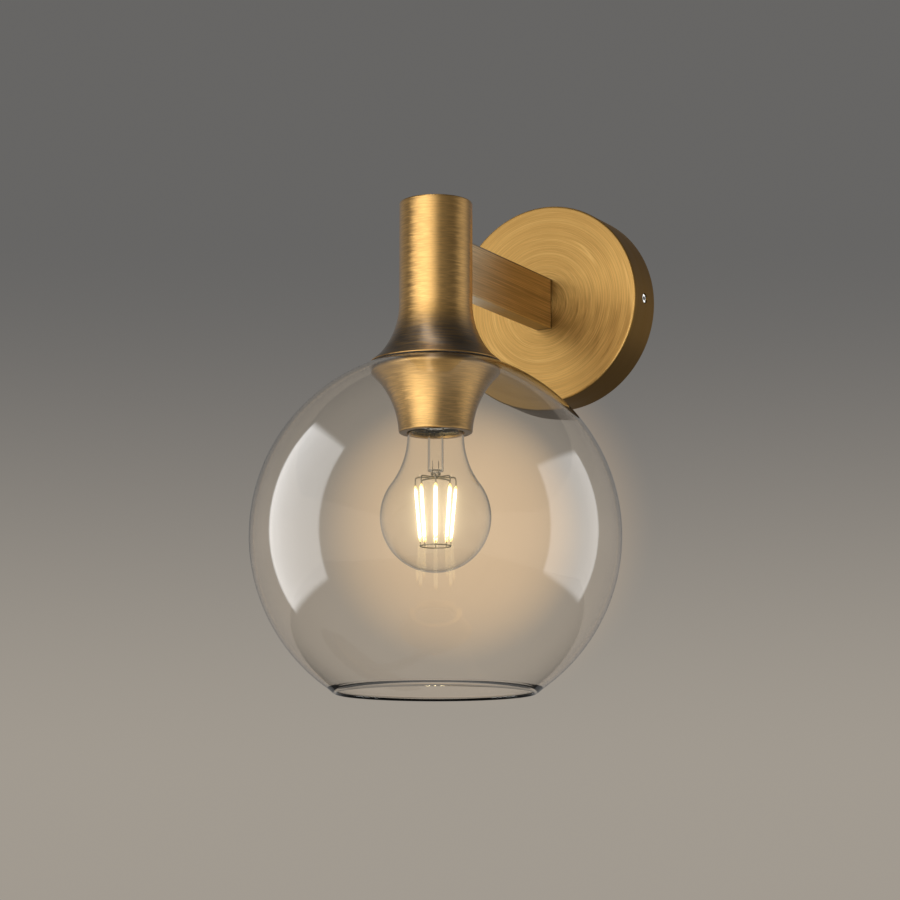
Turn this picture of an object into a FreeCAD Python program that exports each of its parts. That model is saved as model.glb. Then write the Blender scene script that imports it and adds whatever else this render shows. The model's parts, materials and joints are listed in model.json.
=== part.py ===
import FreeCAD, Part
import math
import os

V = FreeCAD.Vector

# Globe wall sconce, in millimetres. The wall is the plane y = 0, the origin is the centre of
# the canopy on the wall, +X is to the right for someone facing the wall, and +Z is up.

# Layout
body_reach = 158.0            # wall to the upright axis of body, globe and bulb
globe_crown_z = -53.3         # top of the globe's sphere, if it had no hole there
seat_gap = 0.05               # room between pieces that are pressed, brazed or screwed together
thread_gap = 0.08             # radial room in a thread, drawn as two plain cylinders

# Canopy and its bracket
canopy_diameter = 118.8
canopy_depth = 26.5
canopy_wall = 1.5
canopy_edge_round = 1.0
lock_hole_diameter = 6.0
bracket_sheet = 2.0
bracket_height = 24.0
bracket_play = 1.5            # ear to the inside of the canopy's rim
bracket_bend = 1.5            # inside radius of the bend at the foot of an ear
ear_depth = 20.0
wall_screw_spacing = 60.0
wall_slot_width = 5.0
wall_slot_length = 16.0
cable_hole_diameter = 16.0
tab_width = 36.0
tab_top = 38.0
tab_corner_round = 4.0

# Arm
arm_width = 10.0
arm_height = 30.0
arm_wall = 1.5
arm_edge_round = 0.4
end_block_length = 14.0
arm_screw_spacing = 18.0
wire_hole_diameter = 6.4
backing_width = 26.0
backing_height = 40.0
backing_thickness = 2.0
backing_corner_round = 3.0
saddle_width = 14.0
saddle_height = 28.0
saddle_thickness = 3.0

# Body tube with its upper flare
tube_diameter = 40.0
tube_wall = 1.5
tube_top_z = 30.7
tube_edge_round = 1.0
flare_start_z = -26.0
flare_curve = 43.5
top_cap_thickness = 2.0
top_cap_skirt = 7.0
top_cap_bevel = 0.3
bulkhead_top_z = -21.0
bulkhead_thickness = 3.0
vent_hole_diameter = 4.0

# Globe and the two gaskets that hold it
globe_diameter = 200.0
glass_wall = 1.8
globe_neck_diameter = 60.0
globe_mouth_diameter = 106.4
gasket_thickness = 0.5
gasket_width = 3.0
gasket_inset = 0.5            # lip of the tube's flare to the edge of its gasket
mouth_bead_diameter = 2.6     # the mouth's edge, melted to a round bead

# Lower cup
cup_bottom_z = -97.4
cup_waist_diameter = 39.9
cup_waist_drop = 2.0          # where the flare would be upright, below the cup's foot
cup_curve = 48.6
cup_wall = 1.3
cup_edge_round = 1.0
cup_lip_round = 1.5
cup_throat_diameter = 60.0
bulb_hole_diameter = 31.4
sleeve_length = 16.0
sleeve_play = 0.2

# Lampholder for a 27 mm screw cap
nipple_diameter = 10.0
nipple_bore = 8.0
nipple_length = 31.0
nipple_stand = 5.0            # how far the nipple stands up above the bulkhead
nut_across_flats = 14.0
nut_thickness = 3.5
nut_bevel = 0.6
holder_recess = 1.6           # cup's bottom ring to the front of the lampholder
holder_length = 54.6
holder_wall = 1.8
holder_tip_depth = 27.2       # front of the lampholder to the tip of a bulb screwed home
holder_skirt_length = 21.0
holder_cone_length = 10.0
holder_lip_play = 0.6
holder_collar_length = 8.0
holder_collar_wall = 3.4
holder_ceiling_taper = 1.0
insert_wall = 1.7
insert_base = 5.0
shell_sheet = 0.4
shell_front_step = 1.0
shell_end_gap = 3.6
contact_sheet = 0.6
contact_play = 0.1
contact_rest = 0.02           # tongue to the floor it lies on
contact_width = 5.0
contact_reach = 9.0
contact_tail = 3.0
terminal_reach = 8.0
terminal_width = 5.0
terminal_depth = 6.0
terminal_height = 5.0
terminal_floor = 1.5
lead_end_gap = 0.5            # end of a lead to the floor of its terminal

# Bulb, a clear round one of 60 by 106 with eight filaments
bulb_diameter = 60.0
bulb_length = 106.0
bulb_glass_wall = 0.7
bulb_cap_diameter = 26.4
bulb_cap_length = 23.6
bulb_cap_sheet = 0.4
contact_tip_diameter = 9.5
contact_tip_height = 1.6
insulator_height = 2.6
bulb_cap_taper = 1.2
bulb_neck_curve = 45.0        # hollow arc between the neck and the ball
bulb_leave_angle = 53.6       # where that arc leaves the ball, from straight up
bulb_glass_tuck = 4.0         # how far the glass runs up inside the cap
stem_diameter = 8.6
stem_wall = 0.8
stem_end_z = -117.2
hub_z = -121.3
hub_diameter = 2.4
hub_height = 1.2
pinch_width = 5.2
pinch_thickness = 2.2
stem_foot_rise = 3.0          # foot of the stem above the edge of the cap
stem_foot_length = 8.0
filament_count = 8
filament_diameter = 1.8
filament_top_z = -126.2
filament_bottom_z = -156.6
filament_top_circle = 21.9
filament_bottom_circle = 16.4
filament_turn = -61.0         # the first filament faces a viewer who stands right of the middle
support_wire = 0.7
support_leg = 0.63            # the same wire, drawn thinner where it bends down
ring_leg = 0.49
ring_drop = 2.4
ring_leg_gap = 0.15
board_thickness = 1.2
board_gap = 0.3
capacitor_diameter = 6.4
chip_width = 5.0
chip_height = 4.0
chip_thickness = 1.6

# Terminal block and leads in the canopy
block_width = 30.0
block_height = 18.0
block_depth = 14.0
block_foot = 4.0
block_pitch = 9.5
block_tower_width = 7.2
block_hole_depth = 3.0        # foot's face to the axis of the lead holes
block_screw_inset = 4.5
block_screw_sink = 1.2
block_screw_slot = 0.8
block_z = 25.0
lead_diameter = 2.2
lead_pitch = 3.4
lead_tuck = 3.0               # how far a lead runs up into the terminal block
lead_drop = 6.5               # from the block down to the bend towards the arm
lead_step = 3.5               # from the block's row out to the arm's row
lead_spread_drop = 2.5        # below the nipple, where live and neutral part
lead_spread_rise = 7.5        # above the insert, where they run down again
pole_lead_bends = [4.0, 4.5, 12.0, 2.4, 2.4]
earth_lead_rise = 1.6
earth_lead_bends = [2.6, 2.6]
earth_screw_x = 15.0
lug_sheet = 0.8
lug_diameter = 8.8
lug_tongue_width = 3.4
lug_barrel_diameter = 3.2
lug_barrel_start = 6.0
lug_barrel_length = 4.0
lug_lead_tuck = 3.0

# Fasteners
m3 = 3.0
m4 = 4.0
m5 = 5.0
screw_hole_play = 0.4
arm_screw_length = 12.0
lock_screw_length = 8.0
lock_screw_recess = 0.6
lock_socket_flats = 2.5
lock_socket_depth = 2.5
head_height_share = 0.65      # a pan head's height, over the thread's diameter
head_brim_share = 0.4         # upright part of the head, over its height
head_slot_share = 0.24        # width of the slot, over the thread's diameter
screw_tip_bevel = 0.4

# Sizes that follow from those above
canopy_radius = canopy_diameter / 2
tube_radius = tube_diameter / 2
tube_bore = tube_radius - tube_wall
globe_radius = globe_diameter / 2
globe_centre_z = globe_crown_z - globe_radius
globe_centre = (0, globe_centre_z)
cup_waist_radius = cup_waist_diameter / 2
cup_waist_z = cup_bottom_z - cup_waist_drop
axis_y = -body_reach
flare_centre = (tube_radius + flare_curve, flare_start_z)
cup_centre = (cup_waist_radius + cup_curve, cup_waist_z)
arm_root_y = -canopy_depth
bulkhead_bottom_z = bulkhead_top_z - bulkhead_thickness
holder_front_z = cup_bottom_z + cup_wall + holder_recess
holder_top_z = holder_front_z + holder_length
bulb_cap_radius = bulb_cap_diameter / 2
shell_bore = bulb_cap_radius + thread_gap
insert_bore = shell_bore + shell_sheet + seat_gap
skirt_bore = insert_bore + insert_wall + seat_gap
skirt_radius = skirt_bore + holder_wall
holder_shoulder_z = holder_top_z - holder_collar_length - holder_cone_length
holder_ceiling_z = holder_top_z - holder_collar_length - holder_wall
skirt_top_z = holder_front_z + holder_skirt_length
bulb_tip_z = holder_front_z + holder_tip_depth
insert_floor_z = bulb_tip_z + contact_play + contact_sheet
insert_top_z = insert_floor_z + insert_base
bulb_centre_z = bulb_tip_z - bulb_length + bulb_diameter / 2
bulb_cap_edge_z = bulb_tip_z - bulb_cap_length
block_back_y = -bracket_sheet
block_low_z = block_z - block_height / 2
block_hole_y = block_back_y - block_foot - block_hole_depth


def outline(start, steps):
    """Closed wire in the XZ plane. A step is a line's end, or an arc's middle and end."""
    first = V(start[0], 0, start[1])
    here = first
    edges = []
    for step in steps:
        if isinstance(step[0], tuple):
            middle, end = [V(x, 0, z) for x, z in step]
            edges.append(Part.Arc(here, middle, end).toShape())
        else:
            end = V(step[0], 0, step[1])
            edges.append(Part.makeLine(here, end))
        here = end
    if here.distanceToPoint(first) > 1e-6:
        edges.append(Part.makeLine(here, first))
    return Part.Wire(edges)


def turned(start, steps):
    """Solid of revolution about the upright axis of the body."""
    solid = Part.Face(outline(start, steps)).revolve(V(0, 0, 0), V(0, 0, 1), 360)
    solid.translate(V(0, axis_y, 0))
    return solid


def rod(radius, base, tip):
    """Round bar between two points."""
    base = V(*base)
    along = V(*tip) - base
    return Part.makeCylinder(radius, along.Length, base, along)


def block(x, y, z):
    """Box from three (low, high) pairs."""
    low = V(x[0], y[0], z[0])
    return Part.makeBox(x[1] - x[0], y[1] - y[0], z[1] - z[0], low)


def pipe(outer, inner, bottom, top):
    """Upright tube on the axis of the body, its radii and its two ends."""
    return turned((inner, bottom), [(outer, bottom), (outer, top), (inner, top)])


def on_circle(centre, radius, angle):
    """Point on a circle in the XZ plane, its angle measured from straight up towards +X."""
    return (centre[0] + radius * math.sin(angle), centre[1] + radius * math.cos(angle))


def arc_to(centre, radius, start, end):
    """Step of an outline along a circle, from one angle to another."""
    return (on_circle(centre, radius, (start + end) / 2), on_circle(centre, radius, end))


def between(centre, radius, start, end):
    """Step of an outline along a circle, from one of its points to another."""
    first = math.atan2(start[0] - centre[0], start[1] - centre[1])
    last = math.atan2(end[0] - centre[0], end[1] - centre[1])
    return arc_to(centre, radius, first, last)


def crossing(first, first_radius, second, second_radius):
    """Where two circles cross, on the left of the way from the first centre to the second."""
    dx = second[0] - first[0]
    dz = second[1] - first[1]
    apart = math.hypot(dx, dz)
    along = (apart ** 2 + first_radius ** 2 - second_radius ** 2) / (2 * apart)
    aside = math.sqrt(first_radius ** 2 - along ** 2)
    return (first[0] + (along * dx - aside * dz) / apart, first[1] + (along * dz + aside * dx) / apart)


def towards(centre, radius, target):
    """Point of a circle that lies on the way from its centre to a target."""
    reach = math.hypot(target[0] - centre[0], target[1] - centre[1])
    return (centre[0] + (target[0] - centre[0]) * radius / reach,
            centre[1] + (target[1] - centre[1]) * radius / reach)


def on_globe(radius, x):
    """Point above the globe's middle on a sphere round its centre, at a distance from the axis."""
    return (x, globe_centre_z + math.sqrt(radius ** 2 - x ** 2))


def on_cup(inset, z):
    """Point of the cup's flare at a height, on its outside or that far inside it."""
    return (cup_centre[0] - math.sqrt((cup_curve + inset) ** 2 - (z - cup_waist_z) ** 2), z)


def hex_nut(bottom):
    """Nut of the nipple's thread, with its lower face at the given height."""
    radius = nut_across_flats / math.sqrt(3)
    corners = [V(radius * math.cos(math.radians(60 * i)), radius * math.sin(math.radians(60 * i)), 0)
               for i in range(7)]
    nut = Part.Face(Part.makePolygon(corners)).extrude(V(0, 0, nut_thickness))
    chamfer_cone = Part.makeCone(radius + nut_thickness - nut_bevel, radius - nut_bevel, nut_thickness)
    nut = nut.common(chamfer_cone)
    nut.translate(V(0, axis_y, bottom))
    return nut.cut(rod(nipple_diameter / 2 + seat_gap, (0, axis_y, bottom - 1),
                       (0, axis_y, bottom + nut_thickness + 1)))


def pan_screw(size, length, seat, direction):
    """Screw with a domed, slotted head: seat is under the head, direction is where it drives."""
    head_radius = size
    head_height = head_height_share * size
    brim = head_brim_share * head_height
    tip = screw_tip_bevel
    slot_half = head_slot_share * size / 2
    shank = outline((0, -length), [(size / 2 - tip, -length), (size / 2, -length + tip),
                                   (size / 2, 0), (head_radius, 0), (head_radius, brim),
                                   (dome_middle(head_radius, brim, head_height), (0, head_height))])
    screw = Part.Face(shank).revolve(V(0, 0, 0), V(0, 0, 1), 360)
    slot = block((-size, size), (-slot_half, slot_half), (head_height / 2, head_height + 1))
    return placed(screw.cut(slot), seat, direction)


def dome_middle(radius, low, high):
    """Halfway point of the arc of a ball-shaped cap, from its rim in to its crown on the axis."""
    rise = high - low
    ball_radius = (radius ** 2 + rise ** 2) / (2 * rise)
    half = math.asin(radius / ball_radius) / 2
    return (ball_radius * math.sin(half), high - ball_radius + ball_radius * math.cos(half))


def placed(shape, seat, direction):
    """Turns a shape that was made pointing down to point along direction, and moves it."""
    turn = FreeCAD.Rotation(V(0, 0, -1), V(*direction))
    shape.Placement = FreeCAD.Placement(V(*seat), turn)
    return shape


def lead(points, bends):
    """Insulated wire: straight runs joined by tangent arcs, one bend radius for each corner."""
    points = [V(*p) for p in points]
    edges = []
    here = points[0]
    length = 0.0
    for corner, after, bend in zip(points[1:-1], points[2:], bends):
        into = (corner - here).normalize()
        out = (after - corner).normalize()
        turn = into.getAngle(out)
        cut = bend * math.tan(turn / 2)
        start = corner - into * cut
        end = corner + out * cut
        bisector = (out - into).normalize()
        middle = corner + bisector * (bend / math.cos(turn / 2) - bend)
        edges.append(Part.makeLine(here, start))
        edges.append(Part.Arc(start, middle, end).toShape())
        length += (start - here).Length + bend * turn
        here = end
    edges.append(Part.makeLine(here, points[-1]))
    length += (points[-1] - here).Length
    path = Part.Wire(edges)
    ring = Part.makeCircle(lead_diameter / 2, points[0], points[1] - points[0])
    solid = path.makePipeShell([Part.Wire([ring])], True, True)
    section = math.pi * lead_diameter ** 2 / 4
    print("lead %.1f mm long, bends %s, volume %.1f for %.1f" % (length, bends, solid.Volume,
                                                                section * length))
    return solid


# Wall bracket and canopy

def bracket_ear_x():
    """Outer face of an ear."""
    return canopy_radius - canopy_wall - bracket_play


def wall_bracket():
    """Bent strip with an ear at each end and a tab for the terminal block."""
    outer = bracket_ear_x()
    inner = outer - bracket_sheet
    round_out = bracket_bend + bracket_sheet
    s = math.sqrt(0.5)
    right = [(outer - round_out, 0),
             ((outer - round_out * (1 - s), -round_out * (1 - s)), (outer, -round_out)),
             (outer, -ear_depth), (inner, -ear_depth), (inner, -round_out),
             ((inner - bracket_bend * (1 - s), -round_out + bracket_bend * s),
              (inner - bracket_bend, -bracket_sheet))]
    left = [(-inner + bracket_bend, -bracket_sheet),
            ((-inner + bracket_bend * (1 - s), -round_out + bracket_bend * s), (-inner, -round_out)),
            (-inner, -ear_depth), (-outer, -ear_depth), (-outer, -round_out),
            ((-outer + round_out * (1 - s), -round_out * (1 - s)), (-outer + round_out, 0))]
    wire = outline((0, 0), right + left)
    wire.rotate(V(0, 0, 0), V(1, 0, 0), -90)
    strip = Part.Face(wire)
    strip = strip.extrude(V(0, 0, bracket_height))
    strip.translate(V(0, 0, -bracket_height / 2))
    tab = block((-tab_width / 2, tab_width / 2), (-bracket_sheet, 0), (0, tab_top))
    corners = [e for e in tab.Edges if e.BoundBox.ZMin > tab_top - 0.1 and e.BoundBox.YLength > 1]
    tab = tab.makeFillet(tab_corner_round, corners)
    plate = strip.fuse(tab).removeSplitter()
    through = bracket_sheet + 1
    cuts = [rod(cable_hole_diameter / 2, (0, 1, 0), (0, -through, 0)),
            rod(m4 / 2 + seat_gap, (earth_screw_x, 1, 0), (earth_screw_x, -through, 0)),
            rod(m3 / 2 + seat_gap, (block_pitch / 2, 1, block_z), (block_pitch / 2, -through, block_z)),
            rod(m5 / 2 + seat_gap, (-canopy_radius, -canopy_depth / 2, 0),
                (canopy_radius, -canopy_depth / 2, 0))]
    for side in (-1, 1):
        cuts.append(wall_slot(side * wall_screw_spacing / 2))
    for cut in cuts:
        plate = plate.cut(cut)
    return plate


def wall_slot(x):
    """Cutter for a level slot with round ends."""
    radius = wall_slot_width / 2
    reach = wall_slot_length / 2 - radius
    middle = block((x - reach, x + reach), (-bracket_sheet - 1, 1), (-radius, radius))
    ends = [rod(radius, (x + side * reach, 1, 0), (x + side * reach, -bracket_sheet - 1, 0))
            for side in (-1, 1)]
    return middle.fuse(ends)


def canopy():
    """Spun cup with its open side on the wall, bored for the arm, its leads and the lock screws."""
    r = canopy_radius
    soft = canopy_edge_round
    s = math.sqrt(0.5)
    face = -canopy_depth
    wire = outline((r, 0), [(r, face + soft), ((r - soft * (1 - s), face + soft * (1 - s)), (r - soft, face)),
                            (0, face), (0, face + canopy_wall), (r - canopy_wall - soft, face + canopy_wall),
                            ((r - canopy_wall - soft * (1 - s), face + canopy_wall + soft * (1 - s)),
                             (r - canopy_wall, face + canopy_wall + soft)),
                            (r - canopy_wall, 0)])
    wire.rotate(V(0, 0, 0), V(1, 0, 0), -90)
    shell = Part.Face(wire).revolve(V(0, 0, 0), V(0, 1, 0), 360)
    for hole in arm_root_holes(face - 1, face + canopy_wall + 1):
        shell = shell.cut(hole)
    mid = -canopy_depth / 2
    return shell.cut(rod(lock_hole_diameter / 2, (-r - 1, mid, 0), (r + 1, mid, 0)))


def arm_root_holes(front, back):
    """Cutters for the lead hole and the two screw holes at an end of the arm."""
    holes = [rod(wire_hole_diameter / 2, (0, front, 0), (0, back, 0))]
    for side in (-1, 1):
        z = side * arm_screw_spacing / 2
        holes.append(rod((m4 + screw_hole_play) / 2, (0, front, z), (0, back, z)))
    return holes


def canopy_lock_screws():
    """Two socket set screws that stand out of the bracket's ears into the canopy's side holes."""
    screws = []
    for side in (-1, 1):
        outer = side * (canopy_radius - lock_screw_recess)
        inner = outer - side * lock_screw_length
        screw = rod(m5 / 2, (inner, -canopy_depth / 2, 0), (outer, -canopy_depth / 2, 0))
        socket_radius = lock_socket_flats / math.sqrt(3)
        corners = [V(outer + side, -canopy_depth / 2 + socket_radius * math.cos(math.radians(60 * i)),
                     socket_radius * math.sin(math.radians(60 * i))) for i in range(7)]
        socket = Part.Face(Part.makePolygon(corners)).extrude(V(-side * (lock_socket_depth + 1), 0, 0))
        screws.append(screw.cut(socket))
    return Part.makeCompound(screws)


def backing_plate():
    """Steel plate inside the canopy that spreads the pull of the arm."""
    inside = -canopy_depth + canopy_wall
    half = backing_width / 2
    plate = block((-half, half), (inside, inside + backing_thickness),
                  (-backing_height / 2, backing_height / 2))
    corners = [e for e in plate.Edges if e.BoundBox.YLength > backing_thickness / 2]
    plate = plate.makeFillet(backing_corner_round, corners)
    for hole in arm_root_holes(inside - 1, inside + backing_thickness + 1):
        plate = plate.cut(hole)
    return plate


def arm_root_screws():
    """Two screws from inside the canopy into the block in the arm's end."""
    seat = -canopy_depth + canopy_wall + backing_thickness
    return Part.makeCompound([pan_screw(m4, arm_screw_length, (0, seat, side * arm_screw_spacing / 2),
                                        (0, -1, 0)) for side in (-1, 1)])


# Arm

def body_cutter(gap):
    """Upright cylinder that copes the arm's end to the tube."""
    return rod(tube_radius + gap, (0, axis_y, -arm_height), (0, axis_y, arm_height))


def arm():
    """Rectangular tube from the canopy's face, its far end coped to the body tube."""
    half = arm_width / 2
    tall = arm_height / 2
    bar = block((-half, half), (axis_y, arm_root_y), (-tall, tall))
    long_edges = [e for e in bar.Edges if e.BoundBox.YLength > body_reach / 2]
    bar = bar.makeFillet(arm_edge_round, long_edges)
    bore = block((-half + arm_wall, half - arm_wall), (axis_y - 1, arm_root_y + 1),
                 (-tall + arm_wall, tall - arm_wall))
    return bar.cut(bore).cut(body_cutter(seat_gap))


def arm_end_block(far):
    """Brass block brazed into an end of the arm, tapped for two screws and bored for the leads."""
    half = arm_width / 2 - arm_wall - seat_gap
    tall = arm_height / 2 - arm_wall - seat_gap
    if far:
        start = axis_y
        end = axis_y + tube_radius + end_block_length
    else:
        start = arm_root_y - end_block_length
        end = arm_root_y - seat_gap
    piece = block((-half, half), (start, end), (-tall, tall))
    if far:
        piece = piece.cut(body_cutter(seat_gap))
    piece = piece.cut(rod(wire_hole_diameter / 2, (0, start - 1, 0), (0, end + 1, 0)))
    for side in (-1, 1):
        z = side * arm_screw_spacing / 2
        piece = piece.cut(rod(m4 / 2 + seat_gap, (0, start - 1, z), (0, end + 1, z)))
    return piece


def arm_saddle():
    """Block inside the tube with its back curved to the bore, a flat seat for the screws."""
    flat = axis_y + tube_bore - seat_gap - saddle_thickness
    half = saddle_width / 2
    piece = block((-half, half), (flat, axis_y + tube_radius), (-saddle_height / 2, saddle_height / 2))
    bore = rod(tube_bore - seat_gap, (0, axis_y, -arm_height), (0, axis_y, arm_height))
    piece = piece.common(bore)
    for hole in arm_root_holes(flat - 1, axis_y + tube_radius):
        piece = piece.cut(hole)
    return piece


def arm_body_screws():
    """Two screws from inside the tube, through saddle and tube wall, into the arm's far block."""
    seat = axis_y + tube_bore - seat_gap - saddle_thickness
    return Part.makeCompound([pan_screw(m4, arm_screw_length, (0, seat, side * arm_screw_spacing / 2),
                                        (0, 1, 0)) for side in (-1, 1)])


# Body tube, its cap and the bulkhead that carries the lampholder

def body_tube():
    """Tube that opens downwards in a flare, its lip following the globe."""
    seat = globe_radius + gasket_thickness + seat_gap
    waist = (tube_radius, flare_start_z)
    lip_out = crossing(globe_centre, seat, flare_centre, flare_curve)
    lip_in = crossing(globe_centre, seat, flare_centre, flare_curve + tube_wall)
    soft = tube_edge_round
    tube = turned((tube_bore, tube_top_z), [
        (tube_radius - soft, tube_top_z),
        arc_to((tube_radius - soft, tube_top_z - soft), soft, 0, math.pi / 2),
        waist,
        between(flare_centre, flare_curve, waist, lip_out),
        between(globe_centre, seat, lip_out, lip_in),
        between(flare_centre, flare_curve + tube_wall, lip_in, (tube_bore, flare_start_z))])
    for hole in arm_root_holes(axis_y, axis_y + tube_radius + 1):
        tube = tube.cut(hole)
    return tube


def top_cap():
    """Drawn cap pressed into the top of the tube, flush with its edge."""
    outer = tube_bore - seat_gap
    inner = outer - tube_wall
    top = tube_top_z
    under = top - top_cap_thickness
    soft = top_cap_bevel
    return turned((0, top), [(outer - soft, top), (outer, top - soft), (outer, top - top_cap_skirt),
                             (inner, top - top_cap_skirt), (inner, under), (0, under)])


def bulkhead():
    """Disc brazed across the tube, tapped for the nipple, with two vent holes."""
    disc = pipe(tube_bore - seat_gap, nipple_diameter / 2 + seat_gap, bulkhead_bottom_z, bulkhead_top_z)
    for side in (-1, 1):
        x = side * (tube_bore + nut_across_flats / math.sqrt(3)) / 2
        disc = disc.cut(rod(vent_hole_diameter / 2, (x, axis_y, bulkhead_bottom_z - 1),
                            (x, axis_y, bulkhead_top_z + 1)))
    return disc


def nipple():
    """Hollow threaded rod that the lampholder hangs on and the leads pass through."""
    top = bulkhead_top_z + nipple_stand
    return pipe(nipple_diameter / 2, nipple_bore / 2, top - nipple_length, top)


def nipple_nuts():
    """Three thin nuts: over and under the bulkhead, and one that locks the lampholder."""
    heights = [bulkhead_top_z + seat_gap, bulkhead_bottom_z - nut_thickness - seat_gap,
               holder_top_z + seat_gap]
    return Part.makeCompound([hex_nut(z) for z in heights])


# Lampholder

def lampholder_cap():
    """Domed upper half of the lampholder, with a threaded collar for the nipple."""
    collar = nipple_diameter / 2 + holder_collar_wall
    collar_foot = holder_top_z - holder_collar_length
    return turned((nipple_diameter / 2 + seat_gap, holder_top_z), [
        (collar, holder_top_z), (collar, collar_foot), (skirt_radius, holder_shoulder_z),
        (skirt_radius, skirt_top_z + seat_gap), (skirt_bore, skirt_top_z + seat_gap),
        (skirt_bore, holder_shoulder_z - holder_wall), (collar - holder_ceiling_taper, holder_ceiling_z),
        (nipple_diameter / 2 + seat_gap, holder_ceiling_z)])


def lampholder_skirt():
    """Lower half of the lampholder: a sleeve threaded outside, with a lip that keeps the insert in."""
    lip = insert_bore + holder_lip_play
    front = holder_front_z
    bevel = shell_sheet
    return turned((lip, front), [(skirt_radius - bevel, front), (skirt_radius, front + bevel),
                                 (skirt_radius, skirt_top_z), (skirt_bore, skirt_top_z),
                                 (skirt_bore, front + holder_wall), (lip, front + holder_wall)])


def lampholder_insert():
    """Ceramic cup that insulates the screw shell and carries contact and terminals."""
    outer = insert_bore + insert_wall
    bottom = holder_front_z + holder_wall + seat_gap
    return turned((0, insert_floor_z), [(insert_bore, insert_floor_z), (insert_bore, bottom),
                                        (outer, bottom), (outer, insert_top_z), (0, insert_top_z)])


def lampholder_shell():
    """Thin metal sleeve that the bulb's cap screws into."""
    bottom = holder_front_z + holder_wall + shell_front_step
    return pipe(shell_bore + shell_sheet, shell_bore, bottom, bulb_tip_z - shell_end_gap)


def centre_contact():
    """Springy tongue on the insert's floor that presses on the bulb's tip."""
    top = insert_floor_z - contact_rest
    half = contact_width / 2
    return block((-contact_tail, contact_reach), (axis_y - half, axis_y + half), (top - contact_sheet, top))


def lampholder_terminals():
    """Two brass blocks on the insert, each with a hole for its lead."""
    foot = insert_top_z
    half = terminal_width / 2
    deep = terminal_depth / 2
    pieces = []
    for side in (-1, 1):
        x = side * terminal_reach
        piece = block((x - half, x + half), (axis_y - deep, axis_y + deep), (foot, foot + terminal_height))
        hole = rod(lead_diameter / 2 + seat_gap, (x, axis_y, foot + terminal_floor),
                   (x, axis_y, foot + terminal_height + 1))
        pieces.append(piece.cut(hole))
    return Part.makeCompound(pieces)


# Lower cup, gaskets and globe

def cup():
    """Spun cup under the globe: a flare with a rounded lip turned in along the glass."""
    seat = globe_radius - glass_wall - gasket_thickness - seat_gap
    soft = cup_edge_round
    hole = bulb_hole_diameter / 2
    throat = cup_throat_diameter / 2
    floor = cup_bottom_z + cup_wall
    foot = on_cup(0, cup_bottom_z + soft)
    lip_centre = crossing(globe_centre, seat - cup_lip_round, cup_centre, cup_curve + cup_lip_round)
    lip_low = towards(cup_centre, cup_curve, lip_centre)
    lip_top = towards(globe_centre, seat, lip_centre)
    inner_lip = crossing(globe_centre, seat - cup_wall, cup_centre, cup_curve + cup_wall)
    return turned((hole, cup_bottom_z), [
        (foot[0] - soft, cup_bottom_z),
        arc_to((foot[0] - soft, foot[1]), soft, math.pi, math.pi / 2),
        between(cup_centre, cup_curve, foot, lip_low),
        between(lip_centre, cup_lip_round, lip_low, lip_top),
        between(globe_centre, seat, lip_top, on_globe(seat, throat)),
        on_globe(seat - cup_wall, throat),
        between(globe_centre, seat - cup_wall, on_globe(seat - cup_wall, throat), inner_lip),
        between(cup_centre, cup_curve + cup_wall, inner_lip, on_cup(cup_wall, floor)),
        (hole, floor)])


def cup_sleeve():
    """Threaded ring soldered in the foot of the cup, which screws onto the lampholder's skirt."""
    bottom = cup_bottom_z + cup_wall + seat_gap
    outer = on_cup(cup_wall, bottom)[0] - sleeve_play
    return pipe(outer, skirt_radius + thread_gap, bottom, bottom + sleeve_length)


def gasket(inner_radius, outer_radius, middle):
    """Flat silicone ring bent to the globe, between two spheres, centred on a given radius."""
    near = middle - gasket_width / 2
    far = middle + gasket_width / 2
    return turned(on_globe(inner_radius, near), [
        between(globe_centre, inner_radius, on_globe(inner_radius, near), on_globe(inner_radius, far)),
        on_globe(outer_radius, far),
        between(globe_centre, outer_radius, on_globe(outer_radius, far), on_globe(outer_radius, near))])


def upper_gasket():
    """Ring between the tube's flare and the outside of the glass."""
    seat = globe_radius + gasket_thickness
    lip = crossing(globe_centre, seat, flare_centre, flare_curve)[0]
    return gasket(globe_radius + seat_gap, seat, lip - gasket_inset - gasket_width / 2)


def lower_gasket():
    """Ring between the cup's lip and the inside of the glass."""
    inside = globe_radius - glass_wall
    return gasket(inside - gasket_thickness, inside - seat_gap, cup_throat_diameter / 2 + gasket_width / 2)


def globe():
    """Blown glass ball, open above for the lampholder and below for the bulb, its mouth a round bead."""
    inner = globe_radius - glass_wall
    middle = globe_radius - glass_wall / 2
    neck = math.asin(globe_neck_diameter / 2 / middle)
    low = math.pi - math.asin(globe_mouth_diameter / 2 / middle)
    bead = mouth_bead_diameter / 2
    bead_centre = on_circle(globe_centre, middle, low)
    bead_out = crossing(globe_centre, globe_radius, bead_centre, bead)
    bead_in = crossing(globe_centre, inner, bead_centre, bead)
    bead_end = on_circle(bead_centre, bead, low + math.pi / 2)
    neck_out = on_circle(globe_centre, globe_radius, neck)
    neck_in = on_circle(globe_centre, inner, neck)
    return turned(neck_in, [
        neck_out,
        between(globe_centre, globe_radius, neck_out, bead_out),
        (bead_end_middle(bead_centre, bead, bead_out, low), bead_end),
        (bead_end_middle(bead_centre, bead, bead_in, low), bead_in),
        between(globe_centre, inner, bead_in, neck_in)])


def bead_end_middle(centre, radius, start, low):
    """Point of the bead halfway, along its edge, between a start and the bead's lowest point."""
    first = math.atan2(start[0] - centre[0], start[1] - centre[1])
    last = low + math.pi / 2
    if first < last - math.pi:
        first += 2 * math.pi
    return on_circle(centre, radius, (first + last) / 2)


# Bulb

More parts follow.
